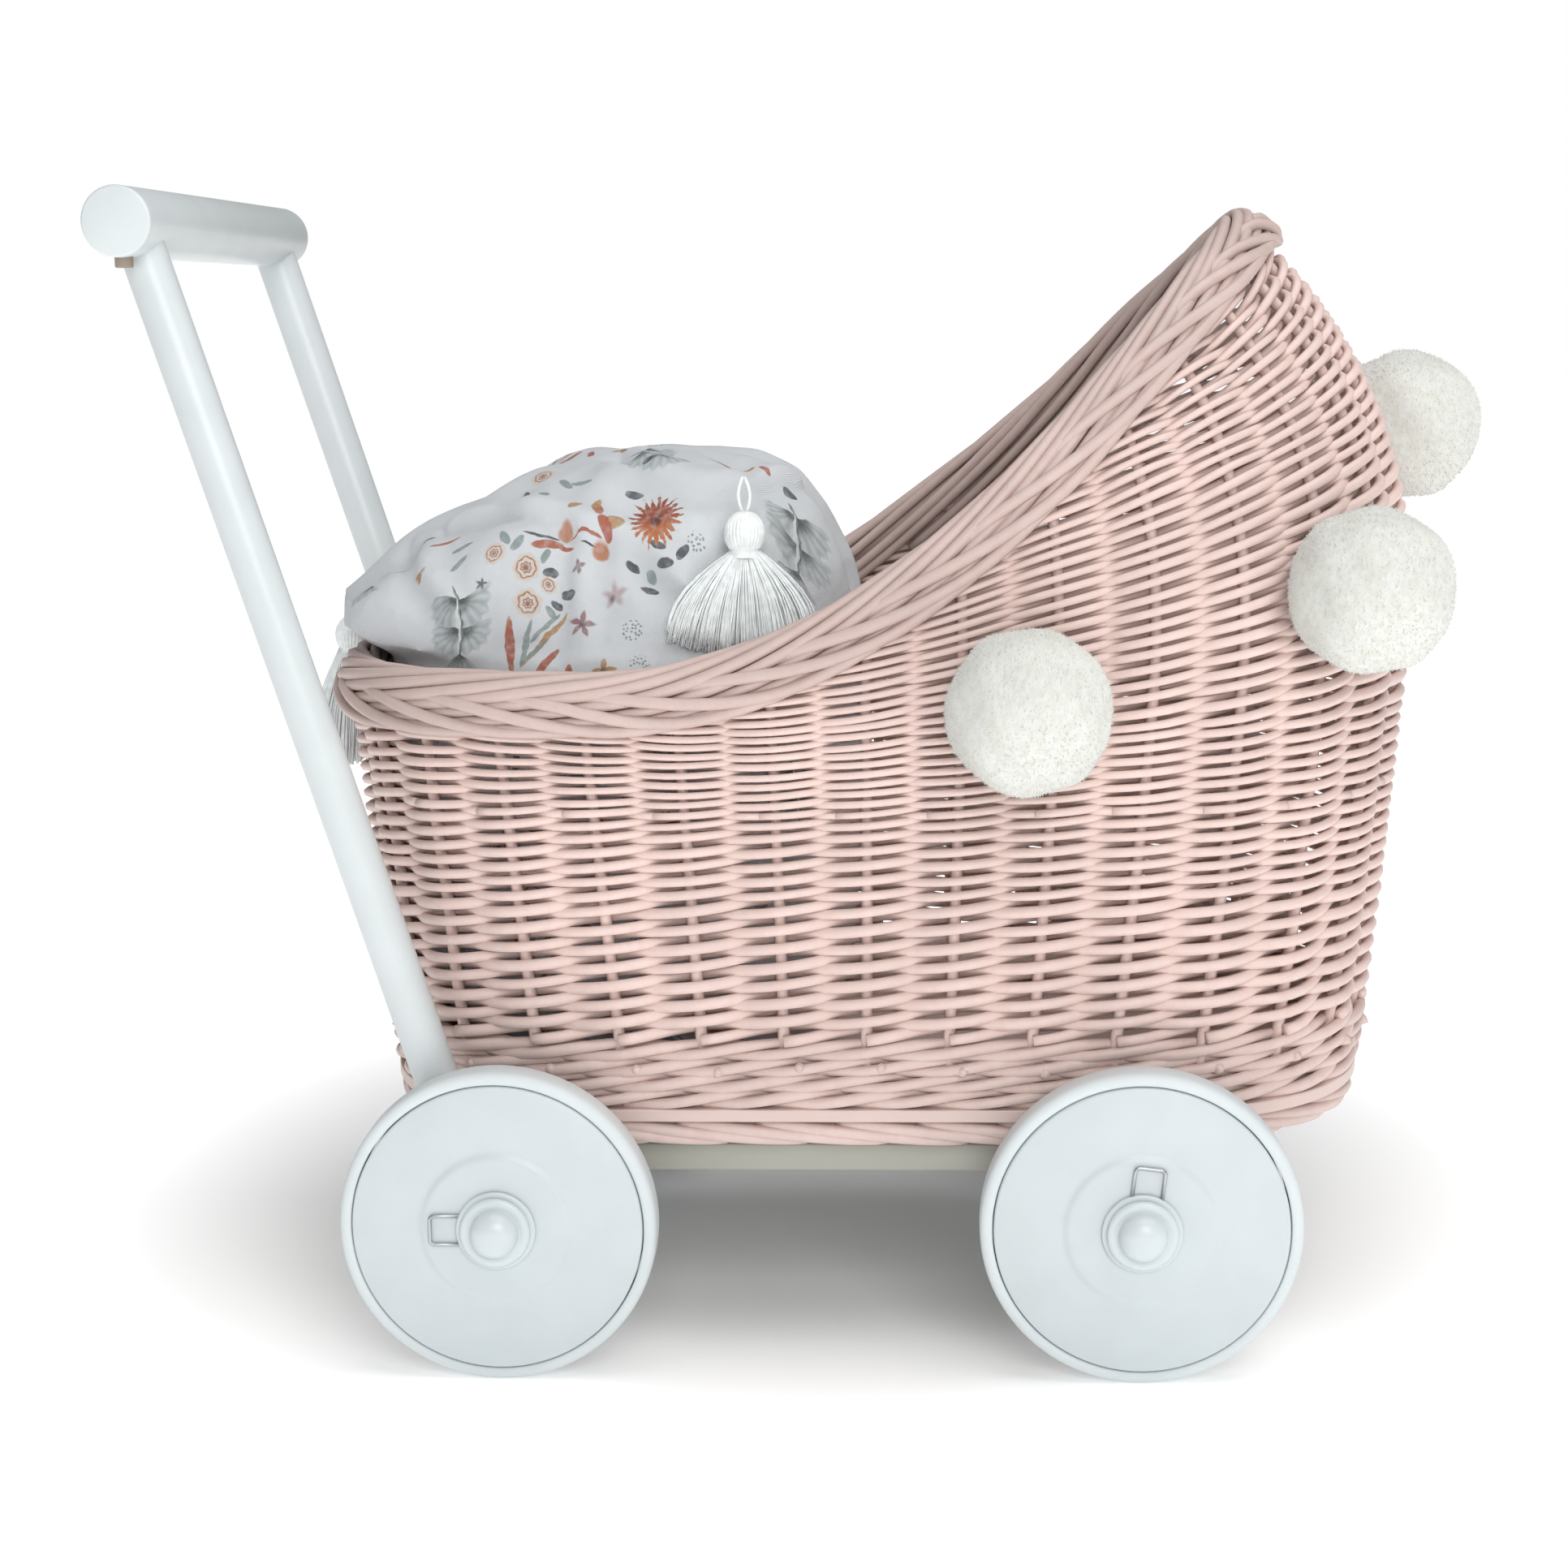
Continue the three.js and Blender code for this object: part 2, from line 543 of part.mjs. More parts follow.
function borderGeometry() {
  const place = (u, v, target) => {
    const { at, normal, up } = rimFrame(u >= 1 ? -1 : 2 * u - 1);
    const a = (v >= 1 ? 0 : v) * 2 * Math.PI;
    const tall = BORDER_R[1] + BORDER_GROWTH * THREE.MathUtils.clamp((at.z - RIM_Z) / 100, 0, 1);
    target.copy(at);
    target.addScaledVector(normal, BORDER_R[0] * Math.cos(a));
    target.addScaledVector(up, tall * Math.sin(a));
  };
  return new ParametricGeometry(place, 64, 8);
}
add('rim_border', borderGeometry(), WILLOW());

// ---- Pompoms ------------------------------------------------------------------------------------
// Five yarn balls on one line round the hood, from the right side over the front to the left side.
const POMPOM_OFF = 27; // centre of a ball out from the wall's outer face
const POMPOM_FLAT = 1.5; // the ball is pressed flat this far off the wall
const POMPOMS = [
  { t: -0.415, z: 297.4 },
  { t: -0.205, z: 341.7 },
  { t: 0.075, z: 397.7 },
  { t: 0.25, z: 352 },
  { t: 0.45, z: 297.4 },
];
function wallNormal(t, z) {
  const along = sectionPoint(t + 0.01, z, 0).sub(sectionPoint(t - 0.01, z, 0));
  const rise = sectionPoint(t, z + 4, 0).sub(sectionPoint(t, z - 4, 0));
  return along.cross(rise).normalize();
}
POMPOMS.forEach(({ t, z }, i) => {
  const out = wallNormal(t, z);
  const foot = sectionPoint(t, z, 0);
  const centre = foot.clone().addScaledVector(out, POMPOM_OFF);
  const ball = solid(new THREE.SphereGeometry(POMPOM_R, 16, 10).translate(centre.x, centre.y, centre.z));
  const back = new THREE.BoxGeometry(4 * POMPOM_R, 4 * POMPOM_R, 2 * POMPOM_R)
    .applyQuaternion(new THREE.Quaternion().setFromUnitVectors(new THREE.Vector3(0, 0, 1), out));
  const behind = foot.addScaledVector(out, POMPOM_FLAT - POMPOM_R);
  back.translate(behind.x, behind.y, behind.z);
  add(`pompom_${i + 1}`, fromSolid(ball.subtract(solid(back))), YARN());
});

// ---- Bedding ------------------------------------------------------------------------------------
// A padded blanket fills the rear half of the basket and swells up out of it; its rear edge lies over the
// rim. Levels are given from the rear axle.
const level = (z, rear, front, half, y = 0) => ({
  z,
  rear: REAR_AXLE_X + rear,
  front: REAR_AXLE_X + front,
  half,
  y,
});
const BLANKET = [
  level(116, 30, 60, 0), level(117, -25, 135, 90), level(150, -48, 152, 103), level(250, -58, 158, 107),
  level(313, -60, 158, 107), level(314, -88, 158, 100), level(331, -90, 156, 92), level(350, -62, 151, 87),
  level(372, -25, 141, 80), level(388, 8, 130, 64), level(398, 32, 110, 44), level(402, 58, 62, 0),
];
add('blanket', lofted(BLANKET, 28, 2.6), COTTON());

// Yarn tassels: one lies on the right slope of the blanket, the other hangs behind the rim on the left.
const TASSEL_RIGHT = [
  level(318, 105, 109, 0, -101), level(320, 76, 140, 8, -101), level(340, 85, 129, 8.5, -97),
  level(358, 97, 121, 7.5, -91), level(363, 103, 115, 6, -90), level(368, 99, 119, 8.5, -88.5),
  level(377, 99, 119, 8.5, -87), level(383, 104, 114, 5, -86), level(387, 107, 111, 2, -85),
  level(393, 107, 111, 2, -82), level(394, 109, 109, 0, -82),
];
const TASSEL_REAR = [
  level(243, -105, -101, 0, 50), level(246, -121, -87.5, 15, 50), level(275, -118, -87, 14, 50),
  level(297, -109, -89, 10, 50), level(301.5, -104, -92, 6, 50), level(305, -107, -88, 9, 50),
  level(312, -106.5, -88, 9, 50), level(317, -101, -93, 4, 50), level(319, -99, -95, 2, 50),
  level(326, -99, -95, 2, 50), level(327, -97, -97, 0, 50),
];
add('tassel_right', lofted(TASSEL_RIGHT, 12, 2), YARN());
add('tassel_rear', lofted(TASSEL_REAR, 12, 2), YARN());

export default group;
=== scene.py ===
import math
import random

import bmesh
import bpy
import numpy as np
from mathutils import Matrix, Vector


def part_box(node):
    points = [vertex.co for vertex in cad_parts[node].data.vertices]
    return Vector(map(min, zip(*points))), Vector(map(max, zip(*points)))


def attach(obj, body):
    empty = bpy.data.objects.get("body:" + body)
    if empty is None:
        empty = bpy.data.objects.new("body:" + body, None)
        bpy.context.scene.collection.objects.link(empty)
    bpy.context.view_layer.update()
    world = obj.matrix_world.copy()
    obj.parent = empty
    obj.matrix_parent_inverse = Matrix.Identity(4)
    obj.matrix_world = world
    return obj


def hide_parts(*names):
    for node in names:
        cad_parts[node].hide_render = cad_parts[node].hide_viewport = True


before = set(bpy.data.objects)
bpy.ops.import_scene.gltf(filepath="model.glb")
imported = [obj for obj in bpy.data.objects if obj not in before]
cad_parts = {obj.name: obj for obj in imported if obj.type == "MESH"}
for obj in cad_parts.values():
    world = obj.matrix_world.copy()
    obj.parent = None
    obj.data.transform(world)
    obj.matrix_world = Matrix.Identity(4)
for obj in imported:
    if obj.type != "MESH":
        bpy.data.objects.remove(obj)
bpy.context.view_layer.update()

bl_info = {
    "name": "Doll stroller",
    "version": (1, 0, 0),
    "blender": (4, 5, 0),
    "location": "3D View > Sidebar > Doll stroller",
    "description": "Builds a wicker doll stroller with its pompoms, tassels and padded blanket",
    "category": "Add Mesh",
}

MM = 0.001
MICRON = 1e-6
CORNERS = ("rear_right", "rear_left", "front_right", "front_left")


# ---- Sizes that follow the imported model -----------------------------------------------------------
def middle(node):
    """Centre of a CAD node's box."""
    low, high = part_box(node)
    return (low + high) / 2


# Millimetres from here on. REAR_X is the rear axle; a share runs from 0 at the nose to 1 at the tail.
REAR_X = middle("rear_axle").x / MM
WALL_HALF = 4.5
SIDE_FOOT, SIDE_TOP, WALL_TOP = 110.0, 300.0, 497.0
FOOT_HALF, TOP_HALF, HOOD_TALL, HOOD_POWER = 123.0, 128.0, 205.0, 2.2
BULGE, BELOW_BULGE, ABOVE_BULGE = 323.0, 213.0, 165.0
FRONT, FRONT_TUCK, FRONT_LEAN = 410.5, 20.0, 63.0
TAIL, TAIL_SLOPE, TAIL_FOOT = 66.0, 0.09, 113.0
NOSE_LENGTH, NOSE_POWER = 120.0, 2.3
TAIL_LENGTH, TAIL_POWER = 110.0, 2.3
NOSE_SHARE, TAIL_SHARE = 0.33, 0.72
RIM_LEVEL, RIM_SIDE_RISE, RIM_SIDE_RUN = 297.0, 12.0, 290.0
RIM_START, RIM_TURN, RIM_BEND = 45.0, 260.0, 0.0025
RIM_LOWEST, RIM_HIGHEST = 250.0, 520.0
# The weave: rows are closer in two bands and crowd together along the slope of the rim.
WEAVE_FOOT = 144.4
FINE_ROWS, FINE_ROWS_FROM, FINE_ROWS_TALL, HOOD_ROWS_FROM = 0.30, 208.0, 80.0, 395.0
CROWD, CROWD_FROM, CROWD_POWER = 78.0, 236.0, 1.4
CROWD_RISE, CROWD_END, CROWD_FADE = 230.0, 530.0, 270.0
LAST_ROW, BELOW_RIM, WALL_HOOD_SPLIT, OUT_OF_SIGHT = 590.0, 3.0, 262.0, 1e4


def ease(share):
    """0 to 1 with a soft start and end."""
    return share * share * (3 - 2 * share)


def front_x(z):
    """How far forward the outside of the basket reaches at height z."""
    below = FRONT - FRONT_TUCK * (np.clip(BULGE - z, 0, None) / BELOW_BULGE) ** 1.3
    above = FRONT - FRONT_LEAN * (np.clip(z - BULGE, 0, None) / ABOVE_BULGE) ** 2.6
    return REAR_X + np.where(z < BULGE, below, above)


def rear_x(z):
    """How far back the outside of the basket reaches at height z."""
    return REAR_X - TAIL - TAIL_SLOPE * (np.minimum(z, SIDE_TOP) - TAIL_FOOT)


def half_width(z):
    """Half the basket's outside width at height z."""
    narrowing = np.clip(1 - (np.clip(z - SIDE_TOP, 0, None) / HOOD_TALL) ** HOOD_POWER, 0, None)
    side = FOOT_HALF + (TOP_HALF - FOOT_HALF) * (z - SIDE_FOOT) / (SIDE_TOP - SIDE_FOOT)
    return np.where(z < SIDE_TOP, side, TOP_HALF * np.sqrt(narrowing))


def wall_at(t, z, inset=WALL_HALF):
    """Points of the wall: t runs from -1 at the tail along the right side to 0 at the nose, and to 1 at the tail."""
    t, z = np.broadcast_arrays(np.asarray(t, float), np.asarray(z, float))
    share = np.abs(t)
    front, rear = front_x(z) - inset, rear_x(z) + inset
    half = np.clip(half_width(z) - inset, 0.5, None)
    nose = np.clip(share / NOSE_SHARE, 0, 1) * math.pi / 2
    tail = np.clip((share - TAIL_SHARE) / (1 - TAIL_SHARE), 0, 1) * math.pi / 2
    along = np.clip((share - NOSE_SHARE) / (TAIL_SHARE - NOSE_SHARE), 0, 1)
    x_nose = front - NOSE_LENGTH + NOSE_LENGTH * np.clip(np.cos(nose), 0, 1) ** (2 / NOSE_POWER)
    y_nose = half * np.sin(nose) ** (2 / NOSE_POWER)
    x_side = (front - NOSE_LENGTH) * (1 - along) + (rear + TAIL_LENGTH) * along
    x_tail = rear + TAIL_LENGTH - TAIL_LENGTH * np.sin(tail) ** (2 / TAIL_POWER)
    y_tail = half * np.clip(np.cos(tail), 0, 1) ** (2 / TAIL_POWER)
    x = np.where(share < NOSE_SHARE, x_nose, np.where(share < TAIL_SHARE, x_side, x_tail))
    y = np.where(share < NOSE_SHARE, y_nose, np.where(share < TAIL_SHARE, half, y_tail))
    return np.stack([x, np.where(t < 0, -y, y), z], -1)


def unit(v):
    """Vectors of length 1."""
    return v / np.maximum(np.linalg.norm(v, axis=-1, keepdims=True), 1e-9)


def wall_normal(t, z):
    """Outward normals of the wall."""
    t, z = np.broadcast_arrays(np.asarray(t, float), np.asarray(z, float))
    step, climb = 0.004, 1.5
    ahead = np.where(t + step > 1, t + step - 2, t + step)
    behind = np.where(t - step < -1, t - step + 2, t - step)
    over = np.minimum(z + climb, WALL_TOP)
    across = wall_at(ahead, z) - wall_at(behind, z)
    return unit(np.cross(across, wall_at(t, over) - wall_at(t, over - 2 * climb)))


def rim_height(x, t):
    """Height of the rim's middle over a point of the wall."""
    start, turn = REAR_X + RIM_START, REAR_X + RIM_TURN
    run = np.clip(x, start, turn) - start
    climb = RIM_BEND * run**2 + 2 * RIM_BEND * (RIM_TURN - RIM_START) * np.clip(x - turn, 0, None)
    share = np.clip((x - start) / RIM_SIDE_RUN, 0, 1)
    return RIM_LEVEL + climb + np.where(t > 0, RIM_SIDE_RISE * np.sin(math.pi * share) ** 2, 0)


def rim_level(t):
    """Height of the rim's middle line at t, where the wall meets it."""
    low, high = np.full(np.shape(t), RIM_LOWEST), np.full(np.shape(t), RIM_HIGHEST)
    for _ in range(40):  # halvings, far below a micrometre
        half = (low + high) / 2
        under = half < rim_height(wall_at(t, half)[..., 0], t)
        low, high = np.where(under, half, low), np.where(under, high, half)
    return low


# ---- Stakes and columns ----------------------------------------------------------------------------
STAKES = 32
FINE = 6  # columns from stake to stake
_grid = np.linspace(-1, 1, 4001)
_loop = wall_at(_grid, 200.0)
_length = np.concatenate([[0], np.cumsum(np.linalg.norm(np.diff(_loop, axis=0), axis=1))])
ROUND = _length[-1]


def share_of(u):
    """t at stake number u, which counts round the basket from the tail along the right side."""
    return np.interp(np.mod(u, STAKES) / STAKES * ROUND, _length, _grid)


def columns_of_weave():
    """For each fine column round the wall: t, the top of the weave, and row number against height."""
    u = np.arange(STAKES * FINE) / FINE
    t = share_of(u)
    rim = rim_level(t)
    from_nose = np.abs(u - STAKES / 2) * ROUND / STAKES
    rise = ease(np.clip(from_nose / CROWD_RISE, 0, 1))
    crowd = CROWD * rise * ease(np.clip((CROWD_END - from_nose) / CROWD_FADE, 0, 1))
    level = np.linspace(0, 1, 90)
    z = WEAVE_FOOT + (rim[:, None] - WEAVE_FOOT) * level
    share = np.clip((z - CROWD_FROM) / np.maximum(rim[:, None] - CROWD_FROM, 1), 0, 1)
    fine = np.clip(z - FINE_ROWS_FROM, 0, FINE_ROWS_TALL) + np.clip(z - HOOD_ROWS_FROM, 0, None)
    rows = z + FINE_ROWS * fine + crowd[:, None] * share**CROWD_POWER
    return t, rim, z, rows


# ---- Mesh helpers ----------------------------------------------------------------------------------
def settings():
    """Sizes set in the panel."""
    return bpy.context.scene.stroller_sizes


def tints():
    """Colours set in the panel."""
    return bpy.context.scene.stroller_colours


def show(name, mesh, finish, body, stands_for=()):
    """Puts a finished mesh in the scene, on its body, in place of its CAD nodes."""
    piece = bpy.data.objects.new(name, mesh)
    bpy.context.scene.collection.objects.link(piece)
    mesh.materials.clear()
    mesh.materials.append(finish)
    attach(piece, body)
    if stands_for:
        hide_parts(*stands_for)
    return piece


def closed_mesh(name, bm, smooth=True):
    """Writes a bmesh out with its doubles merged and its faces turned outwards."""
    bmesh.ops.remove_doubles(bm, verts=bm.verts[:], dist=MICRON)
    bmesh.ops.recalc_face_normals(bm, faces=bm.faces[:])
    for face in bm.faces:
        face.smooth = smooth
    mesh = bpy.data.meshes.new(name)
    bm.to_mesh(mesh)
    bm.free()
    return mesh


def soften(piece, width, segments=3, angle=40):
    """A small rounding on the sharp edges."""
    bevel = piece.modifiers.new("edges", "BEVEL")
    bevel.width = width
    bevel.segments = segments
    bevel.limit_method = "ANGLE"
    bevel.angle_limit = math.radians(angle)
    bevel.harden_normals = True
    return piece


def turned(bm, profile, closed, centre, flip, steps):
    """Spins a (radius, y) profile in millimetres round a line along Y through centre."""
    side = -1 if flip else 1
    verts = [bm.verts.new(Vector((r, side * y, 0)) * MM) for r, y in profile]
    pairs = list(zip(verts, verts[1:] + verts[:1])) if closed else list(zip(verts, verts[1:]))
    edges = [bm.edges.new(pair) for pair in pairs]
    bmesh.ops.spin(
        bm, geom=verts + edges, cent=(0, 0, 0), axis=(0, 1, 0), dvec=(0, 0, 0),
        angle=2 * math.pi, steps=steps, use_merge=True, use_duplicate=False,
    )
    bmesh.ops.translate(bm, verts=bm.verts[:], vec=centre)


def round_bar(bm, start, end, radius, segments, edge):
    """A round bar with softened ends between two points in metres."""
    start, end = Vector(start), Vector(end)
    run = end - start
    place = Matrix.Translation((start + end) / 2) @ run.to_track_quat("Z", "Y").to_matrix().to_4x4()
    made = bmesh.ops.create_cone(
        bm, cap_ends=True, segments=segments, radius1=radius, radius2=radius, depth=run.length, matrix=place,
    )
    rims = {e for v in made["verts"] for e in v.link_edges if any(len(f.verts) > 4 for f in e.link_faces)}
    bmesh.ops.bevel(bm, geom=list(rims), offset=edge * MM, segments=3, profile=0.5, affect="EDGES", material=-1)


def rods(name, paths, radius, round_steps, finish, body, stands_for=()):
    """Round rods along paths of (points in mm, thickness share, closed), as one mesh."""
    curve = bpy.data.curves.new(name, "CURVE")
    curve.dimensions = "3D"
    curve.bevel_depth = radius * MM
    curve.bevel_resolution = round_steps
    curve.use_fill_caps = True
    for points, thickness, closed in paths:
        count = len(points)
        if count < 2:
            continue
        spline = curve.splines.new("POLY")
        spline.points.add(count - 1)
        places = np.ones((count, 4))
        places[:, :3] = np.asarray(points) * MM
        spline.points.foreach_set("co", places.ravel())
        spline.points.foreach_set("radius", np.array(np.broadcast_to(thickness, count), float))
        spline.use_cyclic_u = closed
        spline.use_smooth = True
    line = bpy.data.objects.new(name + "_line", curve)
    bpy.context.scene.collection.objects.link(line)
    bpy.context.view_layer.update()
    mesh = bpy.data.meshes.new_from_object(line.evaluated_get(bpy.context.evaluated_depsgraph_get()))
    bpy.data.objects.remove(line)
    bm = bmesh.new()
    bm.from_mesh(mesh)
    bpy.data.meshes.remove(mesh)
    return show(name, closed_mesh(name, bm), finish, body, stands_for)


# ---- Finishes --------------------------------------------------------------------------------------
class Finish:
    """A material and short ways to add its nodes."""

    def __init__(self, name):
        self.material = bpy.data.materials.new(name)
        self.material.use_nodes = True
        self.nodes = self.material.node_tree.nodes
        self.links = self.material.node_tree.links
        self.shader = self.nodes["Principled BSDF"]
        self.object_place = self.add("ShaderNodeTexCoord").outputs["Object"]

    def add(self, kind, inputs=None, **values):
        node = self.nodes.new(kind)
        for key, value in values.items():
            setattr(node, key, value)
        for key, value in (inputs or {}).items():
            self.put(node.inputs[key], value)
        return node

    def put(self, socket, value):
        if isinstance(value, bpy.types.NodeSocket):
            self.links.new(value, socket)
        else:
            socket.default_value = value

    def maths(self, operation, *values):
        return self.add("ShaderNodeMath", dict(enumerate(values)), operation=operation).outputs[0]

    def vector(self, operation, *values, output="Vector"):
        return self.add("ShaderNodeVectorMath", dict(enumerate(values)), operation=operation).outputs[output]

    def noise(self, scale, detail=3.0, roughness=0.5, place=None, stretch=None):
        place = place or self.object_place
        if stretch:
            place = self.add("ShaderNodeMapping", {"Vector": place, "Scale": stretch}).outputs[0]
        inputs = {"Vector": place, "Scale": scale, "Detail": detail, "Roughness": roughness}
        return self.add("ShaderNodeTexNoise", inputs).outputs["Fac"]

    def between(self, value, low, high, full=1.0):
        """0 below low, full above high, smooth between."""
        node = self.add("ShaderNodeMapRange", {"Value": value, "From Min": low, "From Max": high, "To Max": full})
        node.interpolation_type = "SMOOTHSTEP"
        return node.outputs[0]

    def blend(self, share, first, second):
        """The first colour where share is 0, the second where it is 1."""
        factor, a, b, result = 0, 6, 7, 2  # the colour sockets of the mix node
        return self.add("ShaderNodeMix", data_type="RGBA", inputs={factor: share, a: first, b: second}).outputs[result]

    def bump(self, height, distance, strength=1.0):
        node = self.add("ShaderNodeBump", {"Height": height, "Distance": distance, "Strength": strength})
        self.put(self.shader.inputs["Normal"], node.outputs[0])

    def surface(self, **inputs):
        """Sets shader sockets; an underscore stands for a space."""
        for key, value in inputs.items():
            self.put(self.shader.inputs[key.replace("_", " ")], value)


def colour(c, share=1.0):
    """A colour of the panel, lightened or darkened, as four numbers."""
    return (*(min(1.0, x * share) for x in c[:3]), 1.0)


def paint(name, tone, roughness=0.42, grain=0.00004, coat=0.0):
    """Sprayed paint over sanded wood: a trace of the grain, small mottling, slightly uneven sheen."""
    made = Finish(name)
    mottle = made.noise(38, 4.0)
    fine = made.noise(900, 2.0)
    base = made.blend(made.between(mottle, 0.3, 0.7), colour(tone, 0.972), colour(tone, 1.012))
    made.surface(Base_Color=base, Roughness=made.maths("MULTIPLY_ADD", fine, 0.10, roughness - 0.05))
    made.surface(Coat_Weight=coat, Coat_Roughness=0.25)
    height = made.maths("ADD", made.maths("MULTIPLY", made.noise(160, 5.0), 0.8), made.maths("MULTIPLY", fine, 0.25))
    made.bump(height, grain, 0.6)
    return made.material


def willow_paint(name, tone, deep):
    """Painted willow: satin pink with paler worn streaks and a faint bark grain."""
    made = Finish(name)
    patch = made.between(made.noise(16, 4.0), 0.32, 0.68)
    streak = made.between(made.noise(150, 3.0, 0.6), 0.35, 0.7)
    base = made.blend(patch, colour(tone, 0.93), colour(tone, 1.03))
    base = made.blend(made.maths("MULTIPLY", streak, 0.35), base, colour(deep))
    made.surface(Base_Color=base, Roughness=made.maths("MULTIPLY_ADD", made.noise(420, 2.0), 0.16, 0.42))
    made.surface(Specular_IOR_Level=0.45)
    made.bump(made.maths("ADD", made.noise(520, 4.0), made.maths("MULTIPLY", streak, 0.5)), 0.00012, 0.5)
    return made.material


def yarn(name, tone, shade):
    """Soft matt yarn: lighter fibres, with a darker shade colour mixed in by noise as painted shade between them."""
    made = Finish(name)
    # Painted shade: noise mixes the darker shade colour in between the lighter tufts.
    tuft = made.between(made.noise(260, 3.0), 0.3, 0.7)
    made.surface(Base_Color=made.blend(tuft, colour(shade), colour(tone)), Roughness=0.95)
    made.surface(Sheen_Weight=0.35, Sheen_Roughness=0.5, Specular_IOR_Level=0.15)
    made.bump(made.noise(1500, 2.0), 0.0002, 0.5)
    return made.material


def plain_steel(name, tone):
    """Drawn wire and turned steel: fine scratches across a grey metal."""
    made = Finish(name)
    scratch = made.noise(700, 4.0)
    made.surface(Base_Color=made.blend(scratch, colour(tone, 0.85), colour(tone, 1.1)), Metallic=0.9)
    made.surface(Roughness=made.maths("MULTIPLY_ADD", scratch, 0.2, 0.28))
    made.bump(scratch, 0.00002, 0.5)
    return made.material


def tyre_rubber(name, tone):
    """Matt white rubber with a fine moulded skin."""
    made = Finish(name)
    skin = made.noise(1200, 3.0)
    base = made.blend(made.between(made.noise(24, 3.0), 0.3, 0.7), colour(tone, 0.96), colour(tone, 1.01))
    made.surface(Base_Color=base, Roughness=made.maths("MULTIPLY_ADD", skin, 0.12, 0.6))
    made.bump(skin, 0.00006, 0.6)
    return made.material


def raw_wood(name, tone):
    """Unpainted beech: long darker flecks."""
    made = Finish(name)
    grain = made.noise(120, 4.0, stretch=(1.0, 1.0, 0.12))
    made.surface(Base_Color=made.blend(grain, colour(tone, 0.6), colour(tone)), Roughness=0.6)
    made.bump(grain, 0.0001, 0.5)
    return made.material


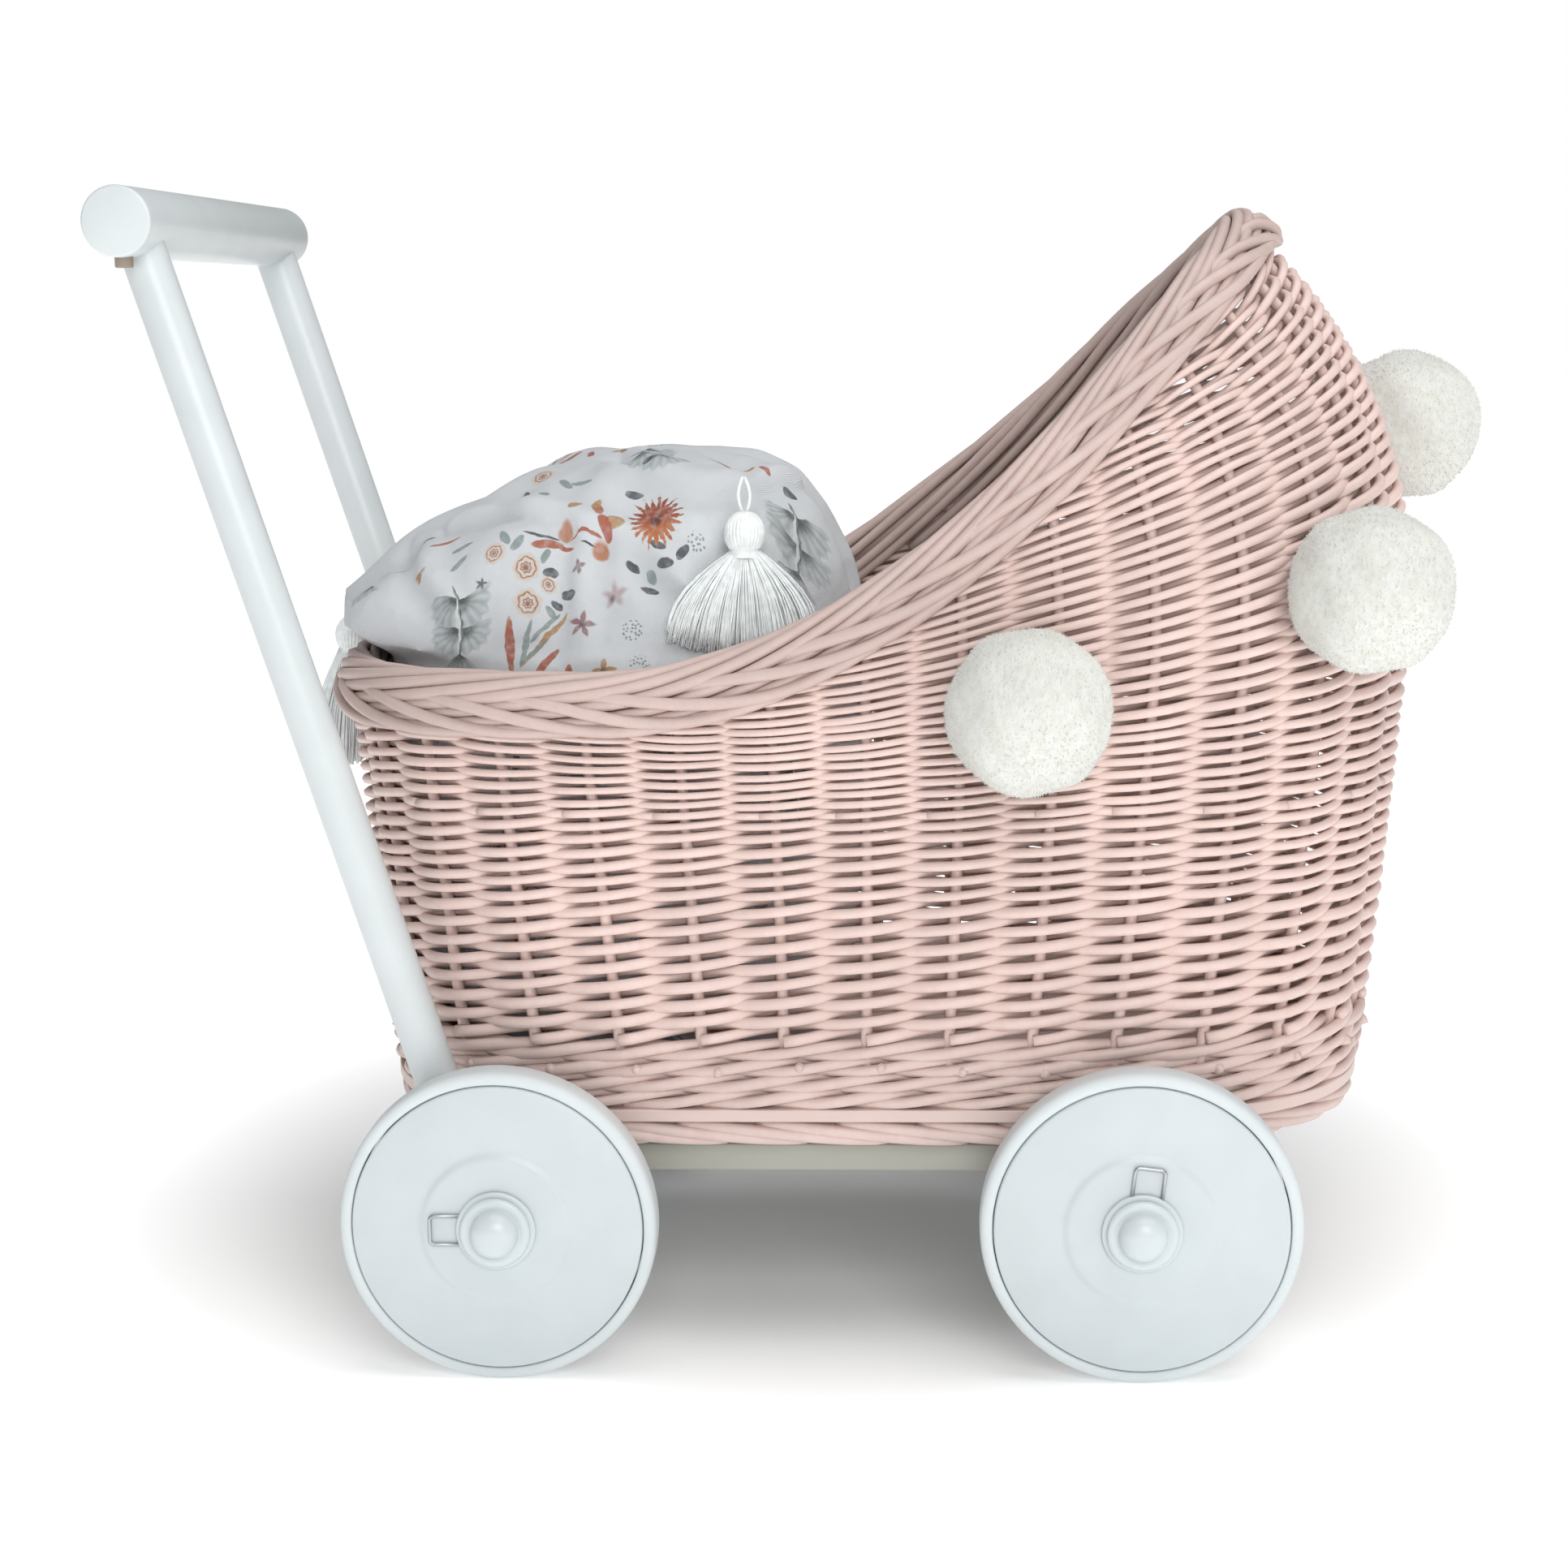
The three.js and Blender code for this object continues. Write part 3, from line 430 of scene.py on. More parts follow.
class Print:
    """Motifs printed on the cotton, laid out in millimetres over one repeat of the pattern."""

    def __init__(self, made, place, ground):
        self.made = made
        self.place = place
        self.colour = ground

    def shape(self, kind, x, y, angle, length, width=None):
        """A gradient laid over a motif: SPHERICAL falls from 1 at its middle to 0, RADIAL turns from 0 to 1."""
        node = self.made.add("ShaderNodeTexGradient", {"Vector": self.place}, gradient_type=kind)
        laid = node.texture_mapping
        laid.vector_type = "TEXTURE"
        laid.translation = (x * MM, y * MM, 0.0)
        laid.rotation = (0.0, 0.0, math.radians(angle))
        laid.scale = (length * MM, (width or length) * MM, 1.0)
        return node.outputs["Fac"]

    def polar(self, x, y, angle, size):
        """Nearness to a motif's centre, reaching 0 at WIDE sizes, and the turn round it."""
        return self.shape("SPHERICAL", x, y, angle, size * WIDE), self.shape("RADIAL", x, y, angle, size)

    def lay(self, mask, tone):
        self.colour = self.made.blend(mask, self.colour, tone)

    def leaf(self, x, y, angle, length, width, tone, strength=0.9):
        """An oval leaf."""
        near = self.shape("SPHERICAL", x, y, angle, length * 0.54, width * 0.54)
        self.lay(self.made.between(near, 0.02, 0.16, strength), tone)

    def disc(self, x, y, radius, tone, strength=0.9, soft=0.2):
        near = self.shape("SPHERICAL", x, y, 0, radius * (1 + soft))
        self.lay(self.made.between(near, 0.01, 2 * soft, strength), tone)

    def petals(self, x, y, radius, count, waist, tone, turn=0.0, strength=0.9, soft=0.08):
        """A flower of that many petals."""
        m = self.made
        near, around = self.polar(x, y, turn, radius)
        wave = m.maths("PINGPONG", around, 0.5 / count)
        reach = m.maths("MULTIPLY_ADD", wave, 2 * count * (1 - waist) / WIDE, near)
        edge = (WIDE - waist) / WIDE
        self.lay(m.between(reach, edge - soft, edge + soft, strength), tone)

    def fan(self, x, y, angle, size, pale, dark):
        """A fan leaf with radiating veins, dark at its stalk."""
        m = self.made
        near, around = self.polar(x, y, angle, size)
        vein = m.maths("PINGPONG", around, 0.032)  # 0 on a vein, most between two
        edge = m.between(m.maths("MULTIPLY_ADD", vein, -3.5, near), 0.15, 0.25)
        inside = m.maths("MULTIPLY", edge, m.maths("COMPARE", around, 0.5, 0.15))
        rib = m.maths("MULTIPLY_ADD", vein, 14.0, 0.24)
        self.lay(m.maths("MULTIPLY", inside, rib), pale)
        self.lay(m.maths("MULTIPLY", inside, m.between(near, 0.50, 0.90, 0.95)), dark)

    def sprig(self, x, y, turn, size, fans, pale, dark):
        """A stem with fan leaves, turned and scaled about its upper end."""
        c, s = size * math.cos(math.radians(turn)), size * math.sin(math.radians(turn))
        for fx, fy, angle, radius in fans:
            self.fan(x + c * fx - s * fy, y + s * fx + c * fy, angle + turn, radius * size, pale, dark)
        for fx, fy, angle, length in STEMS:
            self.leaf(x + c * fx - s * fy, y + s * fx + c * fy, angle + turn, length * size, 1.1, dark, 0.8)

    def rosette(self, x, y, radius, c):
        """A round flower: pale petals, broken rings and a rust heart."""
        m = self.made
        near, around = self.polar(x, y, 20, radius)
        wave = m.maths("PINGPONG", around, 1 / 14)
        inside = m.between(m.maths("MULTIPLY_ADD", wave, 1.35, near), 0.22, 0.40, 0.6)
        self.lay(inside, colour(c.cream))
        rings = m.maths("SINE", m.maths("MULTIPLY_ADD", near, -24.0, m.maths("MULTIPLY", wave, 26.0)))
        dense = m.maths("MULTIPLY", m.between(rings, 0.0, 0.7), m.between(near, 0.34, 0.50, 0.75))
        self.lay(dense, colour(c.rust, 0.8))
        self.lay(m.between(near, 0.80, 0.90, 0.8), colour(c.rust, 0.6))

    def daisy(self, x, y, radius, c):
        """The large spiky flower: deep rust above, orange below."""
        m = self.made
        near, around = self.polar(x, y, 0, radius)
        up = self.shape("LINEAR", x, y - radius, 90, 2 * radius)
        ray = m.maths("MULTIPLY_ADD", m.maths("PINGPONG", around, 1 / 42), 14.0, near)
        reach = m.maths("MULTIPLY_ADD", m.noise(340, 2.0, place=self.place), 0.56, ray)
        orange = m.blend(0.35, colour(c.rust, 1.25), colour(c.ochre))
        tone = m.blend(m.between(up, 0.3, 0.58), orange, colour(c.rust, 0.8))
        self.lay(m.between(reach, 0.79, 0.88), tone)
        self.lay(m.between(near, 0.78, 0.9, 0.85), colour(c.rust, 0.25))

    def dots(self, x, y, radius, tone):
        """A round patch of small dots."""
        m = self.made
        scatter = {"Vector": self.place, "Scale": 560.0, "Randomness": 0.8}
        cell = m.add("ShaderNodeTexVoronoi", scatter, voronoi_dimensions="2D")
        inside = m.between(self.shape("SPHERICAL", x, y, 0, radius), 0.02, 0.15)
        self.lay(m.maths("MULTIPLY", inside, m.between(cell.outputs["Distance"], 0.36, 0.24, 0.7)), tone)


# The print, in millimetres on the cloth: x forward, y up the near side. Angles are in degrees.
WIDE = 1.25  # how far a round motif's gradient runs past its size
REPEAT_LOW, REPEAT_HIGH = (-0.226, -0.152, -1.0), (0.010, -0.017, 1.0)  # one repeat, in metres
STEMS = (
    # x, y, angle and length of the pieces of a sprig's stem
    (-1.0, -4.5, 112, 11.0), (0.8, -12.5, 96, 11.0), (1.6, -22.0, 86, 11.0), (0.6, -30.5, 82, 10.0),
)
FANS = (
    # x, y, angle and size of a sprig's fan leaves
    (-0.6, -7.0, 212, 14.0), (0.6, -8.0, 328, 15.5), (0.2, -21.0, 208, 14.5), (2.2, -21.0, 318, 13.5),
    (0.0, -33.0, 262, 11.5),
)
SPRIGS = (
    # x, y, turn, size and number of fans
    (-168.0, -93.5, 2, 1.0, 5), (-18.0, -42.0, 3, 1.0, 5), (-94.0, -22.5, 58, 0.95, 3),
)
ROSETTES = (
    # x, y and radius
    (-136.5, -90.0, 6.6), (-135.6, -105.2, 6.8), (-126.7, -97.0, 4.0), (-151.5, -83.0, 5.6), (-134.5, -33.0, 6.0),
)


def printed_cotton(name, sizes):
    """White cotton with a scattered watercolour print of flowers and leaves, over a fine plain weave."""
    made = Finish(name)
    uv = made.add("ShaderNodeUVMap", uv_map="cloth").outputs[0]
    c = tints()
    wobble = made.add("ShaderNodeTexNoise", {"Vector": uv, "Scale": 170.0, "Detail": 2.0}).outputs["Color"]
    wobble = made.vector("MULTIPLY", made.vector("SUBTRACT", wobble, (0.5, 0.5, 0.5)), (0.0022, 0.0022, 0.0))
    place = made.vector("WRAP", made.vector("ADD", uv, wobble), REPEAT_HIGH, REPEAT_LOW)
    ground = made.blend(made.between(made.noise(30, 3.0), 0.35, 0.7), colour(c.cotton, 0.95), colour(c.cotton))
    wash = made.noise(300, 3.0, place=uv)
    p = Print(made, place, ground)
    rust, ochre, mauve = colour(c.rust), colour(c.ochre), colour(c.mauve)
    grey, dark = colour(c.leaf_green), colour(c.leaf_dark)
    deep_grey = colour(c.leaf_green, 0.30)

    for x, y, turn, size, count in SPRIGS:
        p.sprig(x, y, turn, size, FANS[:count], grey, deep_grey)
    p.fan(-213.0, -70.0, 240, 13.0, grey, deep_grey)
    for x, y, angle, length, width, tone in LEAVES:
        p.leaf(x, y, angle, length, width, {"g": grey, "k": dark, "r": rust, "o": ochre}[tone])
    for spot in ROSETTES:
        p.rosette(*spot, c)
    p.daisy(-78.5, -72.8, 13.2, c)
    p.petals(-96.4, -103.0, 5.8, 5, 0.4, mauve, 20, 0.5, 0.25)
    p.disc(-97.8, -104.2, 1.7, dark, 0.75, 0.5)
    p.petals(-110.8, -116.4, 6.4, 5, 0.2, colour(c.mauve, 0.75), 8, 0.85, 0.12)
    p.disc(-110.8, -116.4, 1.6, dark, 0.6, 0.5)
    p.petals(-112.8, -91.8, 3.4, 4, 0.3, colour(c.mauve, 0.5), 60, 0.8, 0.2)
    p.petals(-100.3, -139.2, 5.6, 4, 0.25, ochre, 45, 0.9)
    p.disc(-100.3, -139.2, 1.4, dark, 0.8, 0.4)
    p.petals(-157.0, -96.0, 2.9, 5, 0.3, dark, 0, 0.85, 0.2)
    p.petals(-188.0, -80.0, 3.0, 3, 0.3, ochre, 30, 0.9, 0.2)
    for x, y, radius, strength in ((-119.6, -74.4, 3.4, 0.85), (-103.2, -83.4, 3.9, 0.9)):
        p.disc(x, y, radius, made.blend(wash, ochre, colour(c.rust, 1.3)), strength)
    for x, y, radius, share in ((-88.3, -119.6, 5.4, 0.35), (-84.5, -136.5, 5.0, 0.35), (-60.0, -84.0, 4.5, 0.5)):
        p.dots(x, y, radius, colour(c.leaf_green, share))

    faded = made.blend(made.maths("MULTIPLY", made.between(wash, 0.4, 0.75), 0.3), p.colour, ground)
    made.surface(Base_Color=faded, Roughness=0.85, Sheen_Weight=0.15, Specular_IOR_Level=0.2)
    along, across, _ = made.add("ShaderNodeSeparateXYZ", {0: uv}).outputs
    warp, weft = (made.maths("SINE", made.maths("MULTIPLY", v, math.tau / sizes.thread_pitch)) for v in (along, across))
    thread = made.maths("MULTIPLY", made.maths("MULTIPLY", warp, weft), 0.05)
    wrinkle = made.noise(34, 3.0, 0.55, stretch=(1.0, 0.7, 1.0))
    made.bump(made.maths("ADD", thread, wrinkle), 0.007, 0.8)
    return made.material


LEAVES = (
    # x, y and angle of each leaf on the cloth, its length and width, and its ink: dark, grey, rust or ochre
    (-141.6, -44.0, 84, 8.2, 4.2, "k"), (-131.0, -54.5, -40, 7.0, 3.6, "g"), (-122.0, -47.0, -55, 10.5, 3.8, "g"),
    (-114.5, -49.0, -25, 11.0, 3.4, "g"), (-147.1, -76.5, -62, 8.4, 3.6, "g"),
    (-141.1, -79.5, 48, 8.0, 3.8, "g"), (-168.5, -69.5, 2, 10.5, 3.0, "g"),
    (-169.2, -80.0, 42, 10.0, 3.6, "g"), (-187.7, -48.0, 40, 7.2, 3.8, "k"), (-125.5, -91.6, 0, 7.4, 4.2, "k"),
    (-117.4, -101.4, -30, 7.2, 4.6, "k"), (-122.5, -105.6, -38, 6.2, 3.8, "k"), (-125.3, -109.2, -60, 7.2, 3.0, "g"),
    (-128.1, -85.0, 62, 6.6, 3.2, "g"), (-89.4, -58.6, 0, 8.2, 4.4, "k"), (-209.8, -57.0, 22, 7.6, 3.0, "k"),
    (-77.2, -84.6, -22, 7.4, 3.6, "k"), (-66.1, -88.0, 52, 8.0, 4.2, "k"), (-88.8, -90.0, -34, 7.4, 4.0, "k"),
    (-73.4, -92.4, -8, 7.4, 4.0, "k"), (-80.2, -94.4, -60, 7.0, 3.6, "g"), (-80.8, -100.4, -12, 8.2, 3.6, "k"),
    (-20.4, -36.4, 20, 6.4, 3.6, "k"), (-84.0, -38.0, 0, 7.0, 3.6, "k"),
    (-143.4, -125.0, 93, 27.0, 4.4, "r"), (-136.2, -124.0, 80, 24.0, 2.6, "g"), (-127.6, -122.0, 52, 33.0, 3.0, "o"),
    (-128.0, -116.4, 48, 20.0, 2.2, "g"), (-127.0, -134.5, 56, 19.0, 4.0, "r"), (-132.4, -128.0, 44, 16.0, 2.4, "g"),
    (-104.5, -69.0, -68, 8.0, 5.2, "r"), (-96.6, -74.8, 18, 8.6, 6.4, "o"), (-101.0, -76.5, -50, 8.4, 5.2, "r"),
    (-115.4, -66.4, 8, 7.0, 3.4, "o"), (-105.6, -66.0, 70, 7.0, 3.6, "o"),
    (-130.5, -75.6, -8, 17.0, 1.8, "k"), (-127.5, -79.5, 3, 15.0, 4.2, "r"), (-119.5, -80.8, -22, 9.0, 2.6, "r"),
    (-110.5, -77.6, -12, 15.0, 1.0, "r"), (-108.6, -81.2, -14, 8.0, 0.9, "k"), (-178.0, -60.0, 14, 15.0, 2.2, "r"),
    (-50.5, -35.5, -22, 17.0, 3.6, "r"), (-39.0, -34.0, 60, 9.0, 2.0, "o"), (-32.0, -33.5, -50, 9.0, 2.2, "r"),
    (-116.0, -139.0, 92, 7.6, 3.4, "r"), (-200.0, -64.0, 10, 12.0, 1.2, "g"),
    (-50.0, -98.0, 30, 7.0, 3.6, "k"), (-34.0, -110.0, -20, 8.0, 3.6, "g"),
)


def carry_over(nodes, finish):
    """Gives CAD nodes that still show their finish."""
    for name in nodes:
        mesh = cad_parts[name].data
        mesh.materials.clear()
        mesh.materials.append(finish)


# ---- Settings --------------------------------------------------------------------------------------
def length_setting(name, description, default):
    return bpy.props.FloatProperty(
        name=name, description=description, default=default, min=0.0, unit="LENGTH", subtype="DISTANCE"
    )


def colour_setting(name, description, default):
    return bpy.props.FloatVectorProperty(
        name=name, description=description, default=default, size=3, min=0.0, max=1.0, subtype="COLOR"
    )


class StrollerSizes(bpy.types.PropertyGroup):
    """Sizes that can change without changing the frame."""

    row_pitch: length_setting("Row pitch", "Height from one weaver to the next", 0.0042)
    weaver_thickness: length_setting("Weaver", "Thickness of the weaving rods", 0.0052)
    stake_thickness: length_setting("Stake", "Thickness of the upright stakes", 0.0056)
    border_rod: length_setting("Border rod", "Thickness of the rods in the rim border", 0.0056)
    waling_rod: length_setting("Waling rod", "Thickness of the rods round the bottom", 0.0052)
    thread_pitch: length_setting("Thread pitch", "Spacing of the cotton's threads", 0.0006)
    tufts: bpy.props.IntProperty(
        name="Tufts", description="Loose yarn ends on each pompom", default=7000, min=200, max=12000
    )
    tassel_strands: bpy.props.IntProperty(
        name="Tassel strands", description="Yarn strands in each tassel", default=900, min=50, max=1500
    )


class StrollerColours(bpy.types.PropertyGroup):
    """Colours, as linear values."""

    # Painted shade: the board is white like the handle; this darker grey stands for the shade under the basket.
    board: colour_setting("Board", "Base board under the basket", (0.375, 0.375, 0.33))
    wood: colour_setting("Painted wood", "Handle, beams and spacers", (0.60, 0.643, 0.65))
    wheel: colour_setting("Wheel paint", "Wheel discs and caps", (0.56, 0.612, 0.632))
    tyre: colour_setting("Tyre", "Rubber bands on the wheels", (0.63, 0.68, 0.695))
    willow: colour_setting("Willow", "Painted willow", (0.735, 0.578, 0.534))
    willow_deep: colour_setting("Willow, worn", "Darker streaks on the willow", (0.64, 0.475, 0.43))
    pompom: colour_setting("Pompom yarn", "Pompoms", (0.67, 0.68, 0.655))
    # Painted shade: a darker yarn colour for the shade between the tufts.
    pompom_shade: colour_setting("Pompom shade", "Pompoms between the tufts", (0.61, 0.62, 0.565))
    tassel: colour_setting("Tassel yarn", "Tassels", (0.87, 0.91, 0.91))
    steel: colour_setting("Steel", "Wire clips, axles and screws", (0.45, 0.47, 0.48))
    beech: colour_setting("Bare wood", "Pegs under the grip", (0.36, 0.30, 0.24))
    cotton: colour_setting("Cotton", "Ground of the print", (0.88, 0.92, 0.955))
    cream: colour_setting("Cream", "Petals of the round flowers", (0.84, 0.69, 0.52))
    rust: colour_setting("Rust", "Large flowers and blades", (0.50, 0.10, 0.03))
    ochre: colour_setting("Ochre", "Round flowers", (0.56, 0.30, 0.10))
    leaf_green: colour_setting("Grey green", "Pale leaves", (0.30, 0.38, 0.37))
    leaf_dark: colour_setting("Dark leaves", "Oval leaves and stems", (0.045, 0.06, 0.075))
    mauve: colour_setting("Mauve", "Small flowers", (0.45, 0.17, 0.19))


# ---- Operators -------------------------------------------------------------------------------------
CAMERA_PLACE, CAMERA_TURN, CAMERA_LENS = (0.0479, -1.31584, 0.46608), (-0.057, 0.17, -0.014), 63.83
LIT_PLACE = (0, 0, 0.25)
LIGHTS = (
    # name, place, size, watts and tone
    ("key_light", (0.5, -2.3, 1.3), 1.3, 29.0, (1.0, 0.99, 0.98)),
    ("top_light", (0.55, -0.3, 2.5), 2.2, 38.0, (1.0, 1.0, 1.0)),
)


class STROLLER_OT_stage(bpy.types.Operator):
    """Floor, soft lights and camera"""

    bl_idname = "stroller.stage"
    bl_label = "Stage"

    def execute(self, context):
        scene = context.scene
        bm = bmesh.new()
        bmesh.ops.create_grid(bm, x_segments=1, y_segments=1, size=14.0)
        floor = bpy.data.objects.new("floor", closed_mesh("floor", bm, False))
        scene.collection.objects.link(floor)
        made = Finish("pale_floor_painted_glow")
        cloud = made.noise(2.0, 2.0)
        made.surface(Base_Color=made.blend(cloud, (0.925, 0.93, 0.93, 1), (0.94, 0.945, 0.945, 1)), Roughness=0.7)
        # Painted light: the floor glows, 0.04 near a point just behind the stroller and up to 0.84 from 0.62 m off, so
        # it shows white round the stroller while the shadow under and behind it stays dark.
        shade_middle = (0.0, 0.15, 0.0)
        away = made.vector("DISTANCE", made.object_place, shade_middle, output="Value")
        painted_floor_glow = made.maths("ADD", made.between(away, 0.17, 0.62, 0.80), 0.04)
        made.surface(Emission_Color=(1.0, 1.0, 1.0, 1), Emission_Strength=painted_floor_glow, Specular_IOR_Level=0.1)
        floor.data.materials.append(made.material)

        world = bpy.data.worlds.new("soft_room")
        world.use_nodes = True
        tree = world.node_tree
        room, backdrop = tree.nodes["Background"], tree.nodes.new("ShaderNodeBackground")
        for node, tone, strength in ((room, (0.98, 0.99, 1.0, 1), 0.22), (backdrop, (1.0, 1.0, 1.0, 1), 1.0)):
            node.inputs["Color"].default_value = tone
            node.inputs["Strength"].default_value = strength
        seen = tree.nodes.new("ShaderNodeLightPath")
        choose = tree.nodes.new("ShaderNodeMixShader")
        tree.links.new(seen.outputs["Is Camera Ray"], choose.inputs[0])
        tree.links.new(room.outputs[0], choose.inputs[1])
        tree.links.new(backdrop.outputs[0], choose.inputs[2])
        tree.links.new(choose.outputs[0], tree.nodes["World Output"].inputs[0])
        scene.world = world
        for name, place, size, watts, tone in LIGHTS:
            lamp = bpy.data.lights.new(name, "AREA")
            lamp.size = size
            lamp.energy = watts
            lamp.color = tone
            light = bpy.data.objects.new(name, lamp)
            scene.collection.objects.link(light)
            light.location = place
            light.rotation_euler = (Vector(LIT_PLACE) - Vector(place)).to_track_quat("-Z", "Y").to_euler()

        yaw, pitch, roll = CAMERA_TURN
        ahead = Vector((math.sin(yaw) * math.cos(pitch), math.cos(yaw) * math.cos(pitch), -math.sin(pitch)))
        level = Vector((math.cos(yaw), -math.sin(yaw), 0))
        over = level.cross(ahead)
        right = math.cos(roll) * level + math.sin(roll) * over
        up = -math.sin(roll) * level + math.cos(roll) * over
        lens = bpy.data.cameras.new("camera")
        lens.sensor_width = 36
        lens.lens = CAMERA_LENS
        camera = bpy.data.objects.new("camera", lens)
        scene.collection.objects.link(camera)
        turn = Matrix((right, up, -ahead)).transposed().to_4x4()
        camera.matrix_world = Matrix.Translation(CAMERA_PLACE) @ turn
        scene.camera = camera
        scene.view_settings.view_transform = "Standard"
        return {"FINISHED"}


class STROLLER_OT_chassis(bpy.types.Operator):
    """Base board, axle beams, axles and screws"""

    bl_idname = "stroller.chassis"
    bl_label = "Chassis"

    def execute(self, context):
        c = tints()
        wood = paint("painted_wood", c.wood)
        low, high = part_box("base_board")
        bm = bmesh.new()
        size = high - low
        place = Matrix.Translation((low + high) / 2) @ Matrix.Diagonal((*size, 1))
        bmesh.ops.create_cube(bm, size=1.0, matrix=place)
        upright = [e for e in bm.edges if abs(e.verts[0].co.z - e.verts[1].co.z) > size.z / 2]
        corner = 34 * MM
        bmesh.ops.bevel(bm, geom=upright, offset=corner, segments=16, profile=0.5, affect="EDGES", material=-1)
        # Painted shade: the board's white paint, darkened for the shade under the basket.
        board_paint_with_painted_shade = paint("board_paint_painted_shade", c.board)
        board = show("board", closed_mesh("board", bm), board_paint_with_painted_shade, "pram", ["base_board"])
        soften(board, 1.6 * MM)
        steel = plain_steel("plain_steel", c.steel)
        carry_over(["rear_axle_beam", "front_axle_beam"], wood)
        screws = [f"{kind}_screw_{i}" for kind in ("basket", "beam") for i in range(1, 5)]
        carry_over(["rear_axle", "front_axle", "handle_bolt_right", "handle_bolt_left", *screws], steel)
        carry_over([f"spacer_{corner}" for corner in CORNERS], wood)
        return {"FINISHED"}


# Turned parts of a wheel, as radius and distance out from the stroller's middle.
FACE, BACK, RIM = 158.0, 142.0, 64.0
DISC = [
    (4.4, BACK), (RIM, BACK), (RIM, FACE - 1.0), (RIM - 0.3, FACE - 0.3), (RIM - 1.0, FACE), (36.0, FACE),
    (34.6, FACE + 0.12), (33.6, FACE + 0.5), (32.6, FACE + 1.1), (31.6, FACE + 1.48), (30.2, FACE + 1.6),
    (4.4, FACE + 1.6),
]
BAND = [
    (64.6, BACK), (68.8, BACK), (69.6, BACK + 0.4), (70.0, BACK + 1.4), (70.0, FACE - 4.4), (69.8, FACE - 2.9),
    (69.2, FACE - 1.7), (68.2, FACE - 0.9), (66.8, FACE - 0.55), (65.0, FACE - 0.6), (64.6, FACE - 1.0),
]
WASHER = [(4.4, 159.9), (17.2, 159.9), (17.5, 160.2), (17.5, 161.3), (17.2, 161.75), (16.7, 161.9), (4.4, 161.9)]
KNOB = [
    (0.0, 162.2), (14.6, 162.2), (15.2, 162.5), (15.5, 163.3), (15.4, 164.3), (14.9, 165.0), (14.0, 165.35),
    (12.6, 165.3), (11.6, 165.0), (10.9, 164.9), (10.5, 165.4),
]
KNOB += [(10.5 * math.cos(a) ** 0.9, 166.2 + 7.0 * math.sin(a)) for a in np.linspace(0.05, 1.5, 14)]
KNOB += [(0.0, 173.2)]
CLIP_OUT, CLIP_HALF, CLIP_START, CLIP_REACH, CLIP_BEND, CLIP_WIRE = 160.75, 6.5, 12.0, 29.0, 1.9, 0.8
CLIP_LEAN = 0.12  # radians off upright at the front wheels


class STROLLER_OT_wheels(bpy.types.Operator):
    """Wheel discs, tyres, washers, wire clips and turned caps"""

    bl_idname = "stroller.wheels"
    bl_label = "Wheels"

    def execute(self, context):
        c = tints()
        face_paint = paint("wheel_paint", c.wheel, roughness=0.38, grain=0.00003)
        cap_paint = paint("cap_paint", colour(c.wheel, 1.04)[:3], roughness=0.32, grain=0.00003, coat=0.15)
        rubber = tyre_rubber("white_rubber", c.tyre)
        steel = plain_steel("clip_wire", c.steel)
        for corner in CORNERS:
            body = f"wheel_{corner}_body"
            centre = middle(f"wheel_{corner}")
            centre = Vector((centre.x, 0, centre.z))
            flip = corner.endswith("right")
            for name, profile, closed, steps, finish, on, slot, node in (
                ("disc", DISC, True, 128, face_paint, body, "wheel_paint", "wheel"),
                ("band", BAND, True, 128, rubber, body, "tyre", "tyre"),
                ("washer", WASHER, True, 64, cap_paint, "pram", "wheel_paint", "hub_washer"),
                ("knob", KNOB, False, 64, cap_paint, "pram", "wheel_paint", "hub_cap"),
            ):
                bm = bmesh.new()
                turned(bm, profile, closed, centre, flip, steps)
                piece = show(f"{name}_{corner}", closed_mesh(name, bm), finish, on, [f"{node}_{corner}"])
                soften(piece, 0.25 * MM, 2, 50)
            self.clip(corner, centre, flip, steel)
        return {"FINISHED"}

    def clip(self, corner, centre, flip, steel):
        """A bent wire staple between washer and boss, its closed end out past the washer."""
        quarter = np.linspace(0, 1.57, 6)
        far, near = CLIP_REACH - CLIP_BEND, CLIP_HALF - CLIP_BEND
        path = [(CLIP_START, -CLIP_HALF)]
        path += [(far + CLIP_BEND * math.sin(a), -near - CLIP_BEND * math.cos(a)) for a in quarter]
        path += [(far + CLIP_BEND * math.cos(a), near + CLIP_BEND * math.sin(a)) for a in quarter]
        path += [(CLIP_START, CLIP_HALF)]
        turn = math.pi if corner.startswith("rear") else math.pi / 2 + (-CLIP_LEAN if flip else CLIP_LEAN)
        c, s = math.cos(turn), math.sin(turn)
        y = -CLIP_OUT if flip else CLIP_OUT
        points = [(centre.x / MM + a * c - b * s, y, centre.z / MM + a * s + b * c) for a, b in path]
        rods(f"clip_{corner}", [(points, 1.0, False)], CLIP_WIRE, 2, steel, "pram", [f"hub_clip_{corner}"])


ROD_BEHIND, ROD_FOOT, ROD_SHORT, ROD_OUT, ROD_RADIUS = 15.6, 79.0, 4.0, 122.0, 10.0
PEG_OUT, PEG_BELOW, PEG_ABOVE, PEG_RADIUS = 138.0, 4.2, 3.0, 3.9


